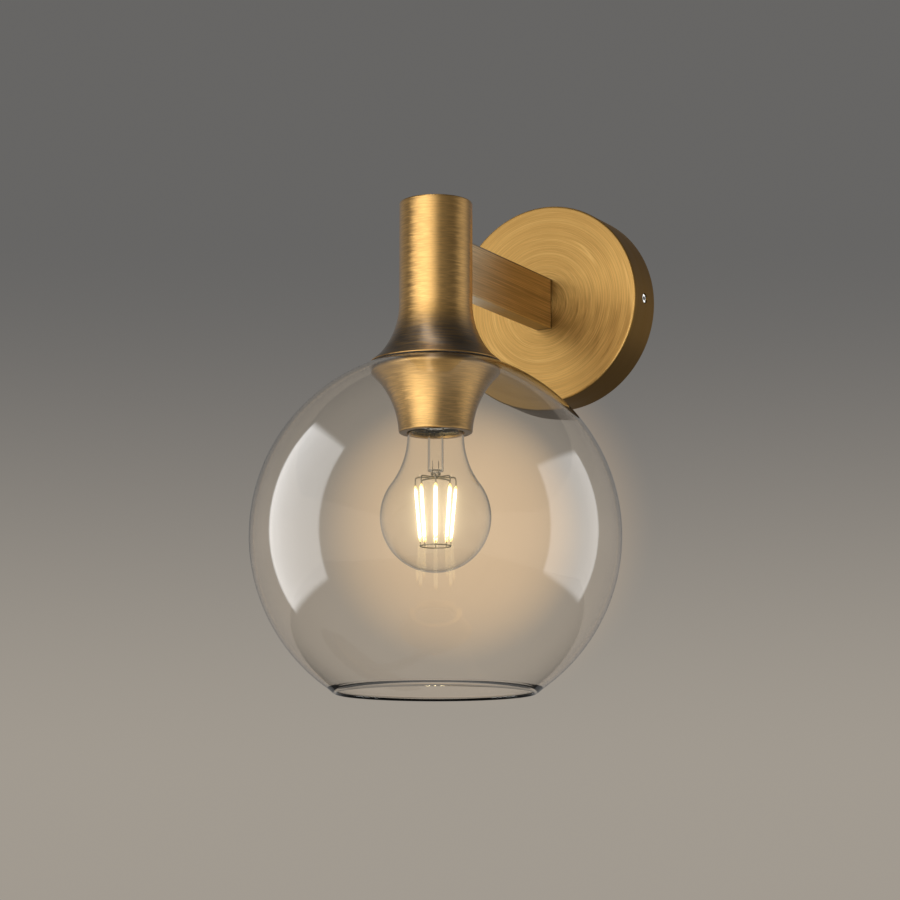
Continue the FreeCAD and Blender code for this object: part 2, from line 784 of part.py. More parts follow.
def bulb_cap():
    """Screw cap: a thin sleeve, closed in a little at its top."""
    r = bulb_cap_radius
    t = bulb_cap_sheet
    shoulder = bulb_tip_z - contact_tip_height - insulator_height
    neck = r - bulb_cap_taper
    return turned((r - t, bulb_cap_edge_z), [
        (r, bulb_cap_edge_z), (r, shoulder - bulb_cap_taper), (neck, shoulder), (neck - t, shoulder),
        (r - t, shoulder - bulb_cap_taper)])


def bulb_insulator():
    """Glass cone between cap and contact tip."""
    top = bulb_tip_z - contact_tip_height
    foot = top - insulator_height + seat_gap
    return turned((0, top), [((contact_tip_diameter + bulb_cap_taper) / 2, top),
                             (bulb_cap_radius - bulb_cap_taper, foot), (0, foot)])


def bulb_contact_tip():
    """Solder-faced contact at the very end of the cap."""
    foot = bulb_tip_z - contact_tip_height + seat_gap
    r = contact_tip_diameter / 2
    return turned((0, foot), [(r, foot), (dome_middle(r, foot, bulb_tip_z), (0, bulb_tip_z))])


def bulb_glass():
    """Clear envelope: a ball, a hollow arc up to the neck, and a taper that runs up into the cap."""
    ball_centre = (0, bulb_centre_z)
    leave = math.radians(bulb_leave_angle)
    hollow_centre = on_circle(ball_centre, bulb_diameter / 2 + bulb_neck_curve, leave)
    top = bulb_cap_edge_z + bulb_glass_tuck

    def side(inset):
        """Top of the tuck, edge of the cap, neck, where ball and arc meet, and the lowest point."""
        bore = bulb_cap_radius - bulb_cap_sheet - seat_gap - inset
        neck = (hollow_centre[0] - bulb_neck_curve - inset, hollow_centre[1])
        return ((bore, top), (bore, bulb_cap_edge_z), neck,
                on_circle(ball_centre, bulb_diameter / 2 - inset, leave),
                on_circle(ball_centre, bulb_diameter / 2 - inset, math.pi))

    out = side(0)
    inn = side(bulb_glass_wall)
    outer_ball = bulb_diameter / 2
    inner_ball = outer_ball - bulb_glass_wall
    return turned(out[0], [
        out[1], out[2],
        between(hollow_centre, bulb_neck_curve, out[2], out[3]),
        arc_to(ball_centre, outer_ball, leave, math.pi),
        inn[4],
        arc_to(ball_centre, inner_ball, math.pi, leave),
        between(hollow_centre, bulb_neck_curve + bulb_glass_wall, inn[3], inn[2]),
        inn[1], inn[0]])


def bulb_stem():
    """Glass tube from a spread foot in the neck, with a flattened pinch at its lower end."""
    r = stem_diameter / 2
    t = stem_wall
    foot_r = bulb_cap_radius - bulb_cap_sheet - bulb_glass_wall - 3 * seat_gap
    top = bulb_cap_edge_z + stem_foot_rise
    tube = turned((foot_r, top), [
        (foot_r, top - t), (r, top - t - stem_foot_length), (r, stem_end_z + t), (r - t, stem_end_z),
        (0, stem_end_z), (0, stem_end_z + t), (r - t, stem_end_z + t), (r - t, top - stem_foot_length),
        (foot_r - t, top)])
    pinch = block((-pinch_width / 2, pinch_width / 2),
                  (axis_y - pinch_thickness / 2, axis_y + pinch_thickness / 2),
                  (hub_z, stem_end_z + t / 2))
    return tube.fuse(pinch)


def filament_ends(index):
    """Top and bottom of one filament."""
    angle = math.radians(filament_turn + 360 / filament_count * index)
    ends = []
    for circle, z in ((filament_top_circle, filament_top_z), (filament_bottom_circle, filament_bottom_z)):
        ends.append((circle / 2 * math.cos(angle), axis_y + circle / 2 * math.sin(angle), z))
    return ends


def led_filaments():
    """Eight straight rods that lean in towards their lower ends."""
    return Part.makeCompound([rod(filament_diameter / 2, *filament_ends(i)) for i in range(filament_count)])


def bulb_support_wires():
    """Hub under the stem, with a wire that goes out level and bends down to the top of each filament."""
    shape = rod(hub_diameter / 2, (0, axis_y, hub_z - hub_height), (0, axis_y, hub_z))
    level = hub_z - hub_height / 2
    reach = filament_top_circle / 2
    for i in range(filament_count):
        x, y, top = filament_ends(i)[0]
        shape = shape.fuse(rod(support_wire / 2, (0, axis_y, level), (x, y, level)))
        shape = shape.fuse(rod(support_leg / 2, (x, y, level), (x, y, top + seat_gap)))
    return largest(shape)


def largest(shape):
    """The biggest solid of a shape, without the shavings that a cut may leave."""
    return max(shape.Solids, key=lambda solid: solid.Volume)


def filament_ring():
    """Wire ring, its section drawn square, with a short leg to the lower end of each filament."""
    radius = filament_bottom_circle / 2
    half = support_wire / 2
    z = filament_bottom_z - ring_drop
    shape = pipe(radius + half, radius - half, z - half, z + half)
    for i in range(filament_count):
        x, y, low = filament_ends(i)[1]
        shape = shape.fuse(rod(ring_leg / 2, (x, y, z), (x, y, low - ring_leg_gap)))
    return shape


def bulb_driver():
    """Small circuit board that stands inside the cap, with a capacitor and a chip."""
    top = bulb_tip_z - contact_tip_height - insulator_height - bulb_cap_taper
    low = bulb_cap_edge_z + bulb_glass_tuck + board_gap
    half = bulb_cap_radius - bulb_cap_sheet - board_gap
    face = axis_y + board_thickness / 2
    board = block((-half, half), (face - board_thickness, face), (low, top))
    x = -half / 3
    y = face + capacitor_diameter / 2 - board_gap
    capacitor = rod(capacitor_diameter / 2, (x, y, low + 1), (x, y, top - 1))
    chip = block((-x / 2, -x / 2 + chip_width), (face, face + chip_thickness),
                 (low + chip_height, low + 2 * chip_height))
    return board.fuse([capacitor, chip])


# Wiring in the canopy

def block_hole_x(pole):
    """Middle of a pole of the terminal block: live, neutral and earth from the left."""
    return (pole - 1) * block_pitch


def terminal_block():
    """Insulating block with three poles, each a tower with a hole for the lead and two screws."""
    low = block_low_z
    high = low + block_height
    back = block_back_y
    face = back - block_depth
    half = block_tower_width / 2
    body = block((-block_width / 2, block_width / 2), (back - block_foot, back), (low, high))
    for pole in range(3):
        x = block_hole_x(pole)
        body = body.fuse(block((x - half, x + half), (face, back - block_foot), (low, high)))
        body = body.cut(rod(lead_diameter / 2 + seat_gap, (x, block_hole_y, low - 1),
                            (x, block_hole_y, high + 1)))
        for z in block_screw_heights():
            body = body.cut(rod(m4 / 2 + seat_gap, (x, block_hole_y - m3 / 2, z), (x, face - 1, z)))
    x = block_pitch / 2
    body = body.cut(rod((m3 + screw_hole_play) / 2, (x, 0, block_z), (x, back - block_foot - 1, block_z)))
    return body.cut(rod(m3 + seat_gap, (x, back - block_foot, block_z), (x, face - 1, block_z)))


def block_screw_heights():
    """Heights of the two clamping screws of a pole."""
    return (block_low_z + block_screw_inset, block_low_z + block_height - block_screw_inset)


def terminal_screws():
    """Six clamping screws, two to a pole."""
    face = block_back_y - block_depth
    inner = block_hole_y - m3 / 2 - seat_gap
    screws = []
    for pole in range(3):
        x = block_hole_x(pole)
        for z in block_screw_heights():
            screw = rod(m4 / 2, (x, inner, z), (x, face + block_screw_sink, z))
            slot = block((x - m4, x + m4), (face, face + block_screw_sink + block_screw_slot),
                         (z - block_screw_slot / 2, z + block_screw_slot / 2))
            screws.append(screw.cut(slot))
    return Part.makeCompound(screws)


def block_fixing_screw():
    """Screw that holds the terminal block to the bracket's tab."""
    return pan_screw(m3, block_foot + bracket_sheet,
                     (block_pitch / 2, block_back_y - block_foot, block_z), (0, 1, 0))


def earth_screw():
    """Screw that bonds the earth lead to the bracket."""
    seat = -bracket_sheet - lug_sheet
    return pan_screw(m4, bracket_sheet + lug_sheet, (earth_screw_x, seat, 0), (0, 1, 0))


def earth_lug():
    """Ring lug with a short barrel that is crimped on the earth lead."""
    x = earth_screw_x
    face = -bracket_sheet - lug_sheet
    radius = lug_diameter / 2
    y = -bracket_sheet - lug_barrel_diameter / 2
    start = lug_barrel_start
    end = start + lug_barrel_length
    ring = rod(radius, (x, face, 0), (x, -bracket_sheet, 0))
    ring = ring.cut(rod(m4 / 2 + seat_gap, (x, face - 1, 0), (x, 0, 0)))
    tongue = block((x - lug_tongue_width / 2, x + lug_tongue_width / 2), (face, -bracket_sheet),
                   (radius - lug_sheet / 2, start + 1))
    barrel = rod(lug_barrel_diameter / 2, (x, y, start), (x, y, end))
    barrel = barrel.cut(rod(lead_diameter / 2 + seat_gap, (x, y, start - 1), (x, y, end + 1)))
    return ring.fuse([tongue, barrel]).removeSplitter()


def pole_lead(side, pole):
    """Live or neutral lead: terminal block, arm, tube, nipple, and down to the lampholder."""
    x = side * lead_pitch / 2
    pole_x = block_hole_x(pole)
    end_x = side * terminal_reach
    nipple_foot = bulkhead_top_z + nipple_stand - nipple_length
    end_z = insert_top_z + terminal_floor + lead_end_gap
    points = [(pole_x, block_hole_y, block_low_z + lead_tuck),
              (pole_x, block_hole_y, block_low_z - lead_drop),
              (x, block_hole_y - lead_step, 0.0), (x, axis_y, 0.0),
              (x, axis_y, nipple_foot - lead_spread_drop),
              (end_x, axis_y, insert_top_z + lead_spread_rise), (end_x, axis_y, end_z)]
    return lead(points, pole_lead_bends)


def earth_lead():
    """Earth lead from the third pole to the lug on the bracket."""
    x = block_hole_x(2)
    y = -bracket_sheet - lug_barrel_diameter / 2
    barrel_end = lug_barrel_start + lug_barrel_length
    points = [(x, block_hole_y, block_low_z + lead_tuck),
              (x, block_hole_y, block_low_z - earth_lead_rise),
              (earth_screw_x, y, barrel_end + earth_lead_rise),
              (earth_screw_x, y, barrel_end - lug_lead_tuck)]
    return lead(points, earth_lead_bends)


parts = {
    "wall_bracket": wall_bracket(),
    "canopy": canopy(),
    "canopy_lock_screws": canopy_lock_screws(),
    "arm_backing_plate": backing_plate(),
    "arm_root_screws": arm_root_screws(),
    "arm": arm(),
    "arm_root_block": arm_end_block(False),
    "arm_body_block": arm_end_block(True),
    "arm_saddle": arm_saddle(),
    "arm_body_screws": arm_body_screws(),
    "body_tube": body_tube(),
    "top_cap": top_cap(),
    "bulkhead": bulkhead(),
    "nipple": nipple(),
    "nipple_nuts": nipple_nuts(),
    "lampholder_cap": lampholder_cap(),
    "lampholder_skirt": lampholder_skirt(),
    "lampholder_insert": lampholder_insert(),
    "lampholder_shell": lampholder_shell(),
    "centre_contact": centre_contact(),
    "lampholder_terminals": lampholder_terminals(),
    "upper_gasket": upper_gasket(),
    "globe": globe(),
    "lower_gasket": lower_gasket(),
    "cup": cup(),
    "cup_sleeve": cup_sleeve(),
    "bulb_cap": bulb_cap(),
    "bulb_insulator": bulb_insulator(),
    "bulb_contact_tip": bulb_contact_tip(),
    "bulb_glass": bulb_glass(),
    "bulb_stem": bulb_stem(),
    "bulb_support_wires": bulb_support_wires(),
    "led_filaments": led_filaments(),
    "filament_ring": filament_ring(),
    "bulb_driver": bulb_driver(),
    "terminal_block": terminal_block(),
    "terminal_screws": terminal_screws(),
    "block_fixing_screw": block_fixing_screw(),
    "earth_screw": earth_screw(),
    "earth_lug": earth_lug(),
    "live_lead": pole_lead(-1, 0),
    "neutral_lead": pole_lead(1, 1),
    "earth_lead": earth_lead(),
}

os.makedirs("parts", exist_ok=True)
for name, shape in parts.items():
    if not shape.isValid():
        print("not valid:", name)
    shape.exportStep("parts/" + name + ".step")
print(len(parts), "nodes")
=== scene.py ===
import json
import math

import bmesh
import bpy
import numpy as np
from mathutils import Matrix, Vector

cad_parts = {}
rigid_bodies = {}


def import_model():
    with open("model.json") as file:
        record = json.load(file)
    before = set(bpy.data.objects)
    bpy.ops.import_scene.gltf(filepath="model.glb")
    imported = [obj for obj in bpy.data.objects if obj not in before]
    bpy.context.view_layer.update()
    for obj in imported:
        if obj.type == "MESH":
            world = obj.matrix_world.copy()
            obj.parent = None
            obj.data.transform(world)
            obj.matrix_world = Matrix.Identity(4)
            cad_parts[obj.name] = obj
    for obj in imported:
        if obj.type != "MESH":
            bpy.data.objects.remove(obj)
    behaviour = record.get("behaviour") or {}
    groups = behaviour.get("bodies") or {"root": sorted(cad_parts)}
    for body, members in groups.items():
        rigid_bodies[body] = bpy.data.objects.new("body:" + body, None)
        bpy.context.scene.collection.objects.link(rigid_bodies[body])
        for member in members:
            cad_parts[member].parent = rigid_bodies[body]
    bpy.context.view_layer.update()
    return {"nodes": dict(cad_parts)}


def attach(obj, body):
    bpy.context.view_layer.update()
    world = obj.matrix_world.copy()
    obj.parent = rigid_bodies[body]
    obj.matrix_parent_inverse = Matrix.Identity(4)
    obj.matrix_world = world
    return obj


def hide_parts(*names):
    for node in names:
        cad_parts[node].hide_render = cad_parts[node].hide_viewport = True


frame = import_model()

# Sizes of the sconce in millimetres, as the solids have them, apart from the stem's end, which is 1.6 mm lower here.
# A mesh is made in millimetres and then scaled to metres.
MM = 0.001
AXIS_Y = -158.0

TUBE_RADIUS = 20.0
TUBE_BORE = 18.5
TUBE_TOP = 30.7
FLARE_START = -26.0
FLARE_CURVE = 43.5
FLARE_CENTRE = (TUBE_RADIUS + FLARE_CURVE, FLARE_START)
TUBE_WALL = 1.5
LIP_EDGE = 0.55

GLOBE_RADIUS = 100.0
GLOBE_CENTRE = (0.0, -153.3)
GLASS_WALL = 1.8
MOUTH_BEAD = 1.3
NECK_RADIUS = 30.0
MOUTH_RADIUS = 53.2
GASKET = 0.5
SEAT_GAP = 0.05

CUP_BOTTOM = -97.4
CUP_CURVE = 48.6
CUP_CENTRE = (19.95 + CUP_CURVE, CUP_BOTTOM - 2.0)
CUP_WALL = 1.3
CUP_LIP = 1.5
CUP_HOLE = 15.7
CUP_THROAT = 30.0

CANOPY_RADIUS = 59.4
CANOPY_DEPTH = 26.5
CANOPY_WALL = 1.5
LOCK_HOLE = 3.0
LOCK_HOLE_Y = -CANOPY_DEPTH / 2
RIM_BREAK = 0.35

ARM_WIDTH = 10.0
ARM_HEIGHT = 30.0
ARM_WALL = 1.5
ARM_ROUND = 0.4

BULB_TIP = -67.3
BULB_CENTRE = (0.0, BULB_TIP - 106.0 + 30.0)
BULB_RADIUS = 30.0
BULB_WALL = 0.7
BULB_HOLLOW = 45.0
BULB_LEAVE = math.radians(53.6)
CAP_RADIUS = 13.2
CAP_SHEET = 0.4
CAP_EDGE = BULB_TIP - 23.6
GLASS_TUCK = 4.0
STEM_FOOT = 3.0
CAP_SHOULDER = BULB_TIP - 4.2
THREAD_PITCH = 3.629
THREAD_DEPTH = 1.0
THREAD_IN = (CAP_EDGE + 4.9, CAP_EDGE + 6.9)
THREAD_OUT = (CAP_SHOULDER - 3.0, CAP_SHOULDER - 1.2)
SHELL_BOTTOM = CUP_BOTTOM + CUP_WALL + 1.6 + 1.8 + 1.0
STEM_RADIUS = 4.3
STEM_WALL = 0.8
STEM_END = -118.8
PINCH = (2.3, 1.0)
HUB = -121.3
FILAMENT_TOP = (10.95, -126.2)
FILAMENT_BOTTOM = (8.2, -156.6)
FILAMENT_TURN = math.radians(-61.0)
FILAMENTS = 8
WIRE = 0.35
RING_Z = FILAMENT_BOTTOM[1] - 2.4

# In metres: where the canopy's side begins, the middle of the earth lead, and the length of one chip of a filament
CANOPY_SIDE = 0.05905
LEAD_MIDDLE = 0.0098
CHIP = 0.0011

# The camera fitted to the photo
VIEW_TURN = math.radians(28.64)
VIEW_RISE = math.radians(9.70)
EYE = Vector((0.67685, -1.38120, -0.34565))
FOCAL_PIXELS = 2627.6
PHOTO_PIXELS = 900
SENSOR = 36.0
QUARTER = math.pi / 2


# Curves in the plane of a profile: a point is (distance from the axis, height)

def circle_point(centre, radius, angle):
    """centre + radius * (sin angle, cos angle), so an angle of 0 is straight up and 90 degrees is outwards."""
    return np.array([centre[0] + radius * math.sin(angle), centre[1] + radius * math.cos(angle)])


def angle_of(centre, point):
    """Angle, from straight up towards the outside, at which a point is seen from a centre."""
    return math.atan2(point[0] - centre[0], point[1] - centre[1])


def arc(centre, radius, start, end, count):
    """Points of a circle, centre + radius * (sin t, cos t), with t going evenly from start to end."""
    t = np.linspace(start, end, count)
    return np.column_stack([centre[0] + radius * np.sin(t), centre[1] + radius * np.cos(t)])


def arc_between(centre, radius, first, last, count):
    """Points of a circle from the direction of one point to the direction of another."""
    return arc(centre, radius, angle_of(centre, first), angle_of(centre, last), count)


def crossing(first, first_radius, second, second_radius):
    """Where two circles meet, left of the way from the first centre to the second."""
    step = np.subtract(second, first)
    apart = np.hypot(*step)
    along = (apart ** 2 + first_radius ** 2 - second_radius ** 2) / (2 * apart)
    aside = math.sqrt(first_radius ** 2 - along ** 2)
    return np.array(first) + (along * step + aside * np.array([-step[1], step[0]])) / apart


def cut_corner(before, corner, after, reach):
    """A corner cut by (1 - t)^2 a + 2 t (1 - t) corner + t^2 b, with a and b that far from it along its two sides."""
    t = np.linspace(0, 1, 7)[:, None]
    a, b = (corner + (end - corner) / np.linalg.norm(end - corner) * reach for end in (before, after))
    return (1 - t) ** 2 * a + 2 * t * (1 - t) * corner + t ** 2 * b


def round_angles(count):
    """Angles evenly round a full turn, from 0."""
    return np.linspace(0, 2 * math.pi, count, endpoint=False)


# Surfaces: each is (points, faces), with points in millimetres

def grid_faces(rows, columns, close_rows, close_columns):
    """Four-cornered faces of a grid of points, with the last row or column joined to the first where it closes."""
    i, j = np.meshgrid(np.arange(rows if close_rows else rows - 1),
                       np.arange(columns if close_columns else columns - 1), indexing="ij")
    i, j = i.ravel(), j.ravel()
    below, beside = (i + 1) % rows, (j + 1) % columns
    return np.column_stack([i * columns + j, below * columns + j, below * columns + beside, i * columns + beside])


def band(rows):
    """Closed rings of points, each joined to the next."""
    return rows.reshape(-1, 3), grid_faces(len(rows), rows.shape[1], False, True)


def ended(path, rows):
    """A band with its first and last ring closed by a fan to the path's two ends."""
    ends = [np.repeat(path[i][None, None], rows.shape[1], 1) for i in (0, -1)]
    return band(np.concatenate([ends[0], rows, ends[1]]))


def turned(profile, steps=180, closed=True, swell=None):
    """Profile (r, z) carried round the body's axis: (r cos a, axis + r sin a, z), a from 0 to a full turn.
    swell, where given, changes r as a function of r, z and a."""
    a = round_angles(steps)[None, :]
    r = profile[:, 0][:, None] + 0 * a
    z = profile[:, 1][:, None] + 0 * a
    if swell is not None:
        r = swell(r, z, a)
    points = np.stack([r * np.cos(a), AXIS_Y + r * np.sin(a), z], -1).reshape(-1, 3)
    return points, grid_faces(len(profile), steps, closed, True)


def joined(surfaces):
    """Several surfaces as one list of points and faces."""
    points, faces, start = [], [], 0
    for p, f in surfaces:
        points.append(p)
        faces.append(f + start)
        start += len(p)
    return np.vstack(points), np.vstack(faces)


def swept(path, outline, upright=(0, 0, 1)):
    """Closed outline (u, v) carried along a path: p(s) + u * side(s) + v * over(s), where side and over are square to
    the path's direction. Both ends are closed by a fan to their middle."""
    path = np.array(path, float)
    along = np.gradient(path, axis=0)
    along /= np.linalg.norm(along, axis=1)[:, None]
    side = np.cross(along, upright)
    side /= np.linalg.norm(side, axis=1)[:, None]
    over = np.cross(side, along)
    return ended(path, path[:, None] + outline[None, :, :1] * side[:, None] + outline[None, :, 1:] * over[:, None])


def round_outline(radius, sides=12, flat=1.0):
    """Circle, or an ellipse where flat isn't 1: (radius cos t, flat * radius sin t)."""
    t = round_angles(sides)
    return np.column_stack([radius * np.cos(t), flat * radius * np.sin(t)])


def new_object(name, data):
    """An object in the scene."""
    thing = bpy.data.objects.new(name, data)
    bpy.context.scene.collection.objects.link(thing)
    return thing


def piece(name, surface, body, material, replaced, crease=38.0):
    """Makes a closed mesh of a surface, with poles and seams merged and all faces outwards, and lets it ride."""
    points, faces = surface
    mesh = bpy.data.meshes.new(name)
    mesh.from_pydata((points * MM).tolist(), [], faces.tolist())
    work = bmesh.new()
    work.from_mesh(mesh)
    bmesh.ops.remove_doubles(work, verts=work.verts, dist=1e-6)
    bmesh.ops.dissolve_degenerate(work, edges=work.edges, dist=1e-7)
    bmesh.ops.recalc_face_normals(work, faces=work.faces)
    work.to_mesh(mesh)
    work.free()
    mesh.shade_smooth()
    mesh.set_sharp_from_angle(angle=math.radians(crease))
    thing = new_object(name, mesh)
    mesh.materials.append(material)
    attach(thing, body)
    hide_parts(*replaced)


# Finishes

class Nodes:
    """The node tree of a material, a light or the world, with short ways to add nodes and links."""

    def __init__(self, owner):
        owner.use_nodes = True
        self.tree = owner.node_tree

    def node(self, kind, inputs=(), **settings):
        """Adds a node. inputs are (socket, value or socket to link)."""
        made = self.tree.nodes.new("ShaderNode" + kind)
        for key, value in settings.items():
            setattr(made, key, value)
        for socket, value in inputs:
            self.put(made, socket, value)
        return made

    def put(self, made, socket, value):
        """Sets a socket to a value, or links it where the value is another node's socket."""
        if isinstance(value, bpy.types.NodeSocket):
            self.tree.links.new(value, made.inputs[socket])
        else:
            made.inputs[socket].default_value = value

    def maths(self, operation, a, b=0.0):
        return self.node("Math", [(0, a), (1, b)], operation=operation).outputs[0]

    def times(self, a, b):
        return self.maths("MULTIPLY", a, b)

    def plus(self, a, b):
        return self.maths("ADD", a, b)

    def minus(self, a, b):
        return self.maths("SUBTRACT", a, b)

    def centred(self, value, size):
        """(value - 0.5) * size, for a noise whose middle is a half."""
        return self.times(self.minus(value, 0.5), size)

    def vector(self, operation, a, b=None):
        made = self.node("VectorMath", [(0, a)] + ([] if b is None else [(1, b)]), operation=operation)
        return made.outputs["Value" if operation in ("LENGTH", "DOT_PRODUCT") else "Vector"]

    def scaled(self, a, share):
        return self.node("VectorMath", [(0, a), ("Scale", share)], operation="SCALE").outputs[0]

    def combined(self, x, y, z=0.0):
        return self.node("CombineXYZ", [(0, x), (1, y), (2, z)]).outputs[0]

    def split(self, vector):
        return self.node("SeparateXYZ", [(0, vector)]).outputs

    def noise(self, where, scale, detail=2.0, rough=0.5):
        return self.node("TexNoise", [("Vector", where), ("Scale", scale), ("Detail", detail),
                                      ("Roughness", rough)]).outputs[0]

    def between(self, value, low, high, start=0.3, end=0.7, way="LINEAR"):
        """Maps a value from start..end to low..high."""
        return self.node("MapRange", [("Value", value), ("From Min", start), ("From Max", end), ("To Min", low),
                                      ("To Max", high)], interpolation_type=way).outputs[0]

    def smooth(self, value, start, end, high=1.0):
        """Goes smoothly from 0 at start to high at end."""
        return self.between(value, 0.0, high, start, end, "SMOOTHSTEP")

    def mix(self, share, first, second):
        made = self.node("Mix", [(0, share)], data_type="RGBA")
        for socket, value in ((6, first), (7, second)):
            self.put(made, socket, value if isinstance(value, bpy.types.NodeSocket) else (*value, 1.0))
        return made.outputs[2]

    def layers(self, tone, *rows):
        """Colours laid over a tone in turn. Each row is (colour, *what between takes), which gives its share."""
        for colour, *share in rows:
            tone = self.mix(self.between(*share), tone, colour)
        return tone

    def bump(self, height, strength, distance):
        return self.node("Bump", [("Height", height), ("Strength", strength), ("Distance", distance)]).outputs[0]


class Finish(Nodes):
    """A material, with its surface and Object coordinates."""

    def __init__(self, name):
        self.material = bpy.data.materials.new(name)
        super().__init__(self.material)
        self.surface = self.tree.nodes["Principled BSDF"]

    def set(self, **values):
        """Sets or links sockets of the surface, named with _ for a blank, and gives the material."""
        for socket, value in values.items():
            self.put(self.surface, socket.replace("_", " "), value)
        return self.material

    def place(self, location=(0, 0, 0), rotation=(0, 0, 0), scale=(1, 1, 1)):
        """Object coordinates, moved, turned and scaled."""
        where = self.node("TexCoord").outputs["Object"]
        return self.node("Mapping", [("Vector", where), ("Location", location), ("Rotation", rotation),
                                     ("Scale", scale)]).outputs[0]

    def brushed(self, tone, rough, stroke, sway, lift, **values):
        """Metal brushed along the direction stroke. Its normal leans by sway along the stroke and by lift across."""
        facing = self.node("NewGeometry").outputs["Normal"]
        across = self.vector("NORMALIZE", self.vector("CROSS_PRODUCT", facing, stroke))
        leaned = self.vector("ADD", facing, self.scaled(stroke, sway))
        leaned = self.vector("NORMALIZE", self.vector("ADD", leaned, self.scaled(across, lift)))
        return self.set(Base_Color=tone, Metallic=1.0, Roughness=rough, Normal=leaned, Tangent=across,
                        Coat_Roughness=0.3, **values)


BRASS_LIGHT = (0.87, 0.505, 0.15)
BRASS_MIDDLE = (0.78, 0.445, 0.125)
BRASS_DARK = (0.56, 0.315, 0.088)
BRASS_RING = (0.99, 0.61, 0.20)
# Colour of the painted shade on the tube's flare
BRASS_PAINTED_SHADE = (0.27, 0.20, 0.135)
# Colours of painted shade: on the canopy's side, and on the canopy where its neighbours reflect it
BRASS_SHADED_SIDE = (0.42, 0.22, 0.04)
BRASS_REFLECTED_SHADE = (0.02, 0.015, 0.01)


def brushed_brass(name, location=(0, -AXIS_Y * MM, 0), rotation=(0, 0, 0), dash=2.8, tilt=0.20, rings=0.0,
                  lacquer=0.8, dim=None, wall=None, slant=1.0):
    """Brass brushed round an axis. A pattern's place is the unit direction from the axis times a count, and the
    station z - slant r times lines per metre: long round the axis and fine across it. dash is the count for the short
    strokes. tilt leans the normal along the stroke, which frays the edges of a reflection. rings adds full rings: a
    thin line wherever a slow noise passes a half. dim is two heights between which the brass is painted dark and grey
    in dashes as shade, and a third below which its edge is left plain brass. wall is the distance from the axis
    beyond which the brass is painted darker and browner as shade, and the whole piece is also painted half way to
    near black as its neighbours' reflections show it, a painted shade."""
    s = Finish(name)
    here = s.place(location, rotation)
    x, y, z = s.split(here)
    flat = s.combined(x, y)
    unit = s.split(s.vector("NORMALIZE", flat))
    reach = s.vector("LENGTH", flat)
    station = s.minus(z, s.times(reach, slant))

    def lines(count, per_metre, detail=2.0, rough=0.55):
        place = s.combined(s.times(unit[0], count), s.times(unit[1], count), s.times(station, per_metre))
        return s.noise(place, 1.0, detail, rough)

    def lines_off_half(count, per_metre):
        return s.maths("ABSOLUTE", s.minus(lines(count, per_metre, 1.0), 0.5))

    fine = lines(dash, 1500.0)
    strokes = lines(dash * 0.8, 900.0)
    broad = lines(dash * 0.3, 300.0)
    cloud = s.noise(here, 45.0, 3.0)
    coarse = 0.25 if rings else 0.75
    tone = s.layers(BRASS_DARK, (BRASS_LIGHT, fine, 0.5 if rings else 0.0, 1.0, 0.37, 0.63),
                    (BRASS_DARK, strokes, coarse, 0.0, 0.32, 0.48),
                    (BRASS_MIDDLE, broad, 0.0, 0.4 * coarse, 0.35, 0.7),
                    (BRASS_DARK, cloud, 0.0, 0.22, 0.35, 0.75))
    rough = s.plus(s.between(fine, 0.31, 0.39), s.between(broad, -0.03, 0.04))
    ring = s.combined(s.times(unit[1], -1.0), unit[0])
    ring = s.node("VectorRotate", [("Vector", ring), ("Rotation", rotation)], rotation_type="EULER_XYZ",
                  invert=True).outputs[0]
    sway = s.plus(s.centred(strokes, 0.3 * tilt), s.centred(fine, tilt))
    lift = s.centred(fine, 0.10)
    if rings:
        hoops = lines(0.16, 1500.0, 3.0, 0.6)
        tone = s.layers(tone, (BRASS_RING, hoops, 0.0, 0.35 * rings, 0.50, 0.62),
                        (BRASS_DARK, hoops, 0.22 * rings, 0.0, 0.38, 0.48),
                        (BRASS_RING, lines_off_half(0.10, 330.0), 0.50 * rings, 0.0, 0.0, 0.012),
                        (BRASS_RING, lines_off_half(0.07, 120.0), 0.80 * rings, 0.0, 0.0, 0.008))
        lift = s.plus(lift, s.centred(hoops, 0.10 * rings))
    # Painted shade: between the first two heights the flare is painted grey in dashes, and below the third height, at
    # the lip, it stays plain brass
    if dim:
        edge = s.between(z, 0.0, 1.0, dim[2] - 0.0002, dim[2] + 0.0002)
        share = s.times(s.times(s.smooth(z, dim[0], dim[1]), edge), s.between(strokes, 0.55, 1.0, 0.38, 0.56))
        tone = s.mix(share, tone, BRASS_PAINTED_SHADE)
    # Painted shade: beyond wall the canopy's side is painted darker and browner, and in its neighbours' reflections
    # the canopy is painted half way to near black
    if wall:
        tone = s.layers(tone, (BRASS_SHADED_SIDE, reach, 0.0, 0.8, wall, wall + 0.0003))
        glossy = s.node("LightPath").outputs["Is Glossy Ray"]
        tone = s.mix(s.times(glossy, 0.52), tone, BRASS_REFLECTED_SHADE)
    return s.brushed(tone, rough, ring, sway, lift, Anisotropic=0.7, Coat_Weight=lacquer)


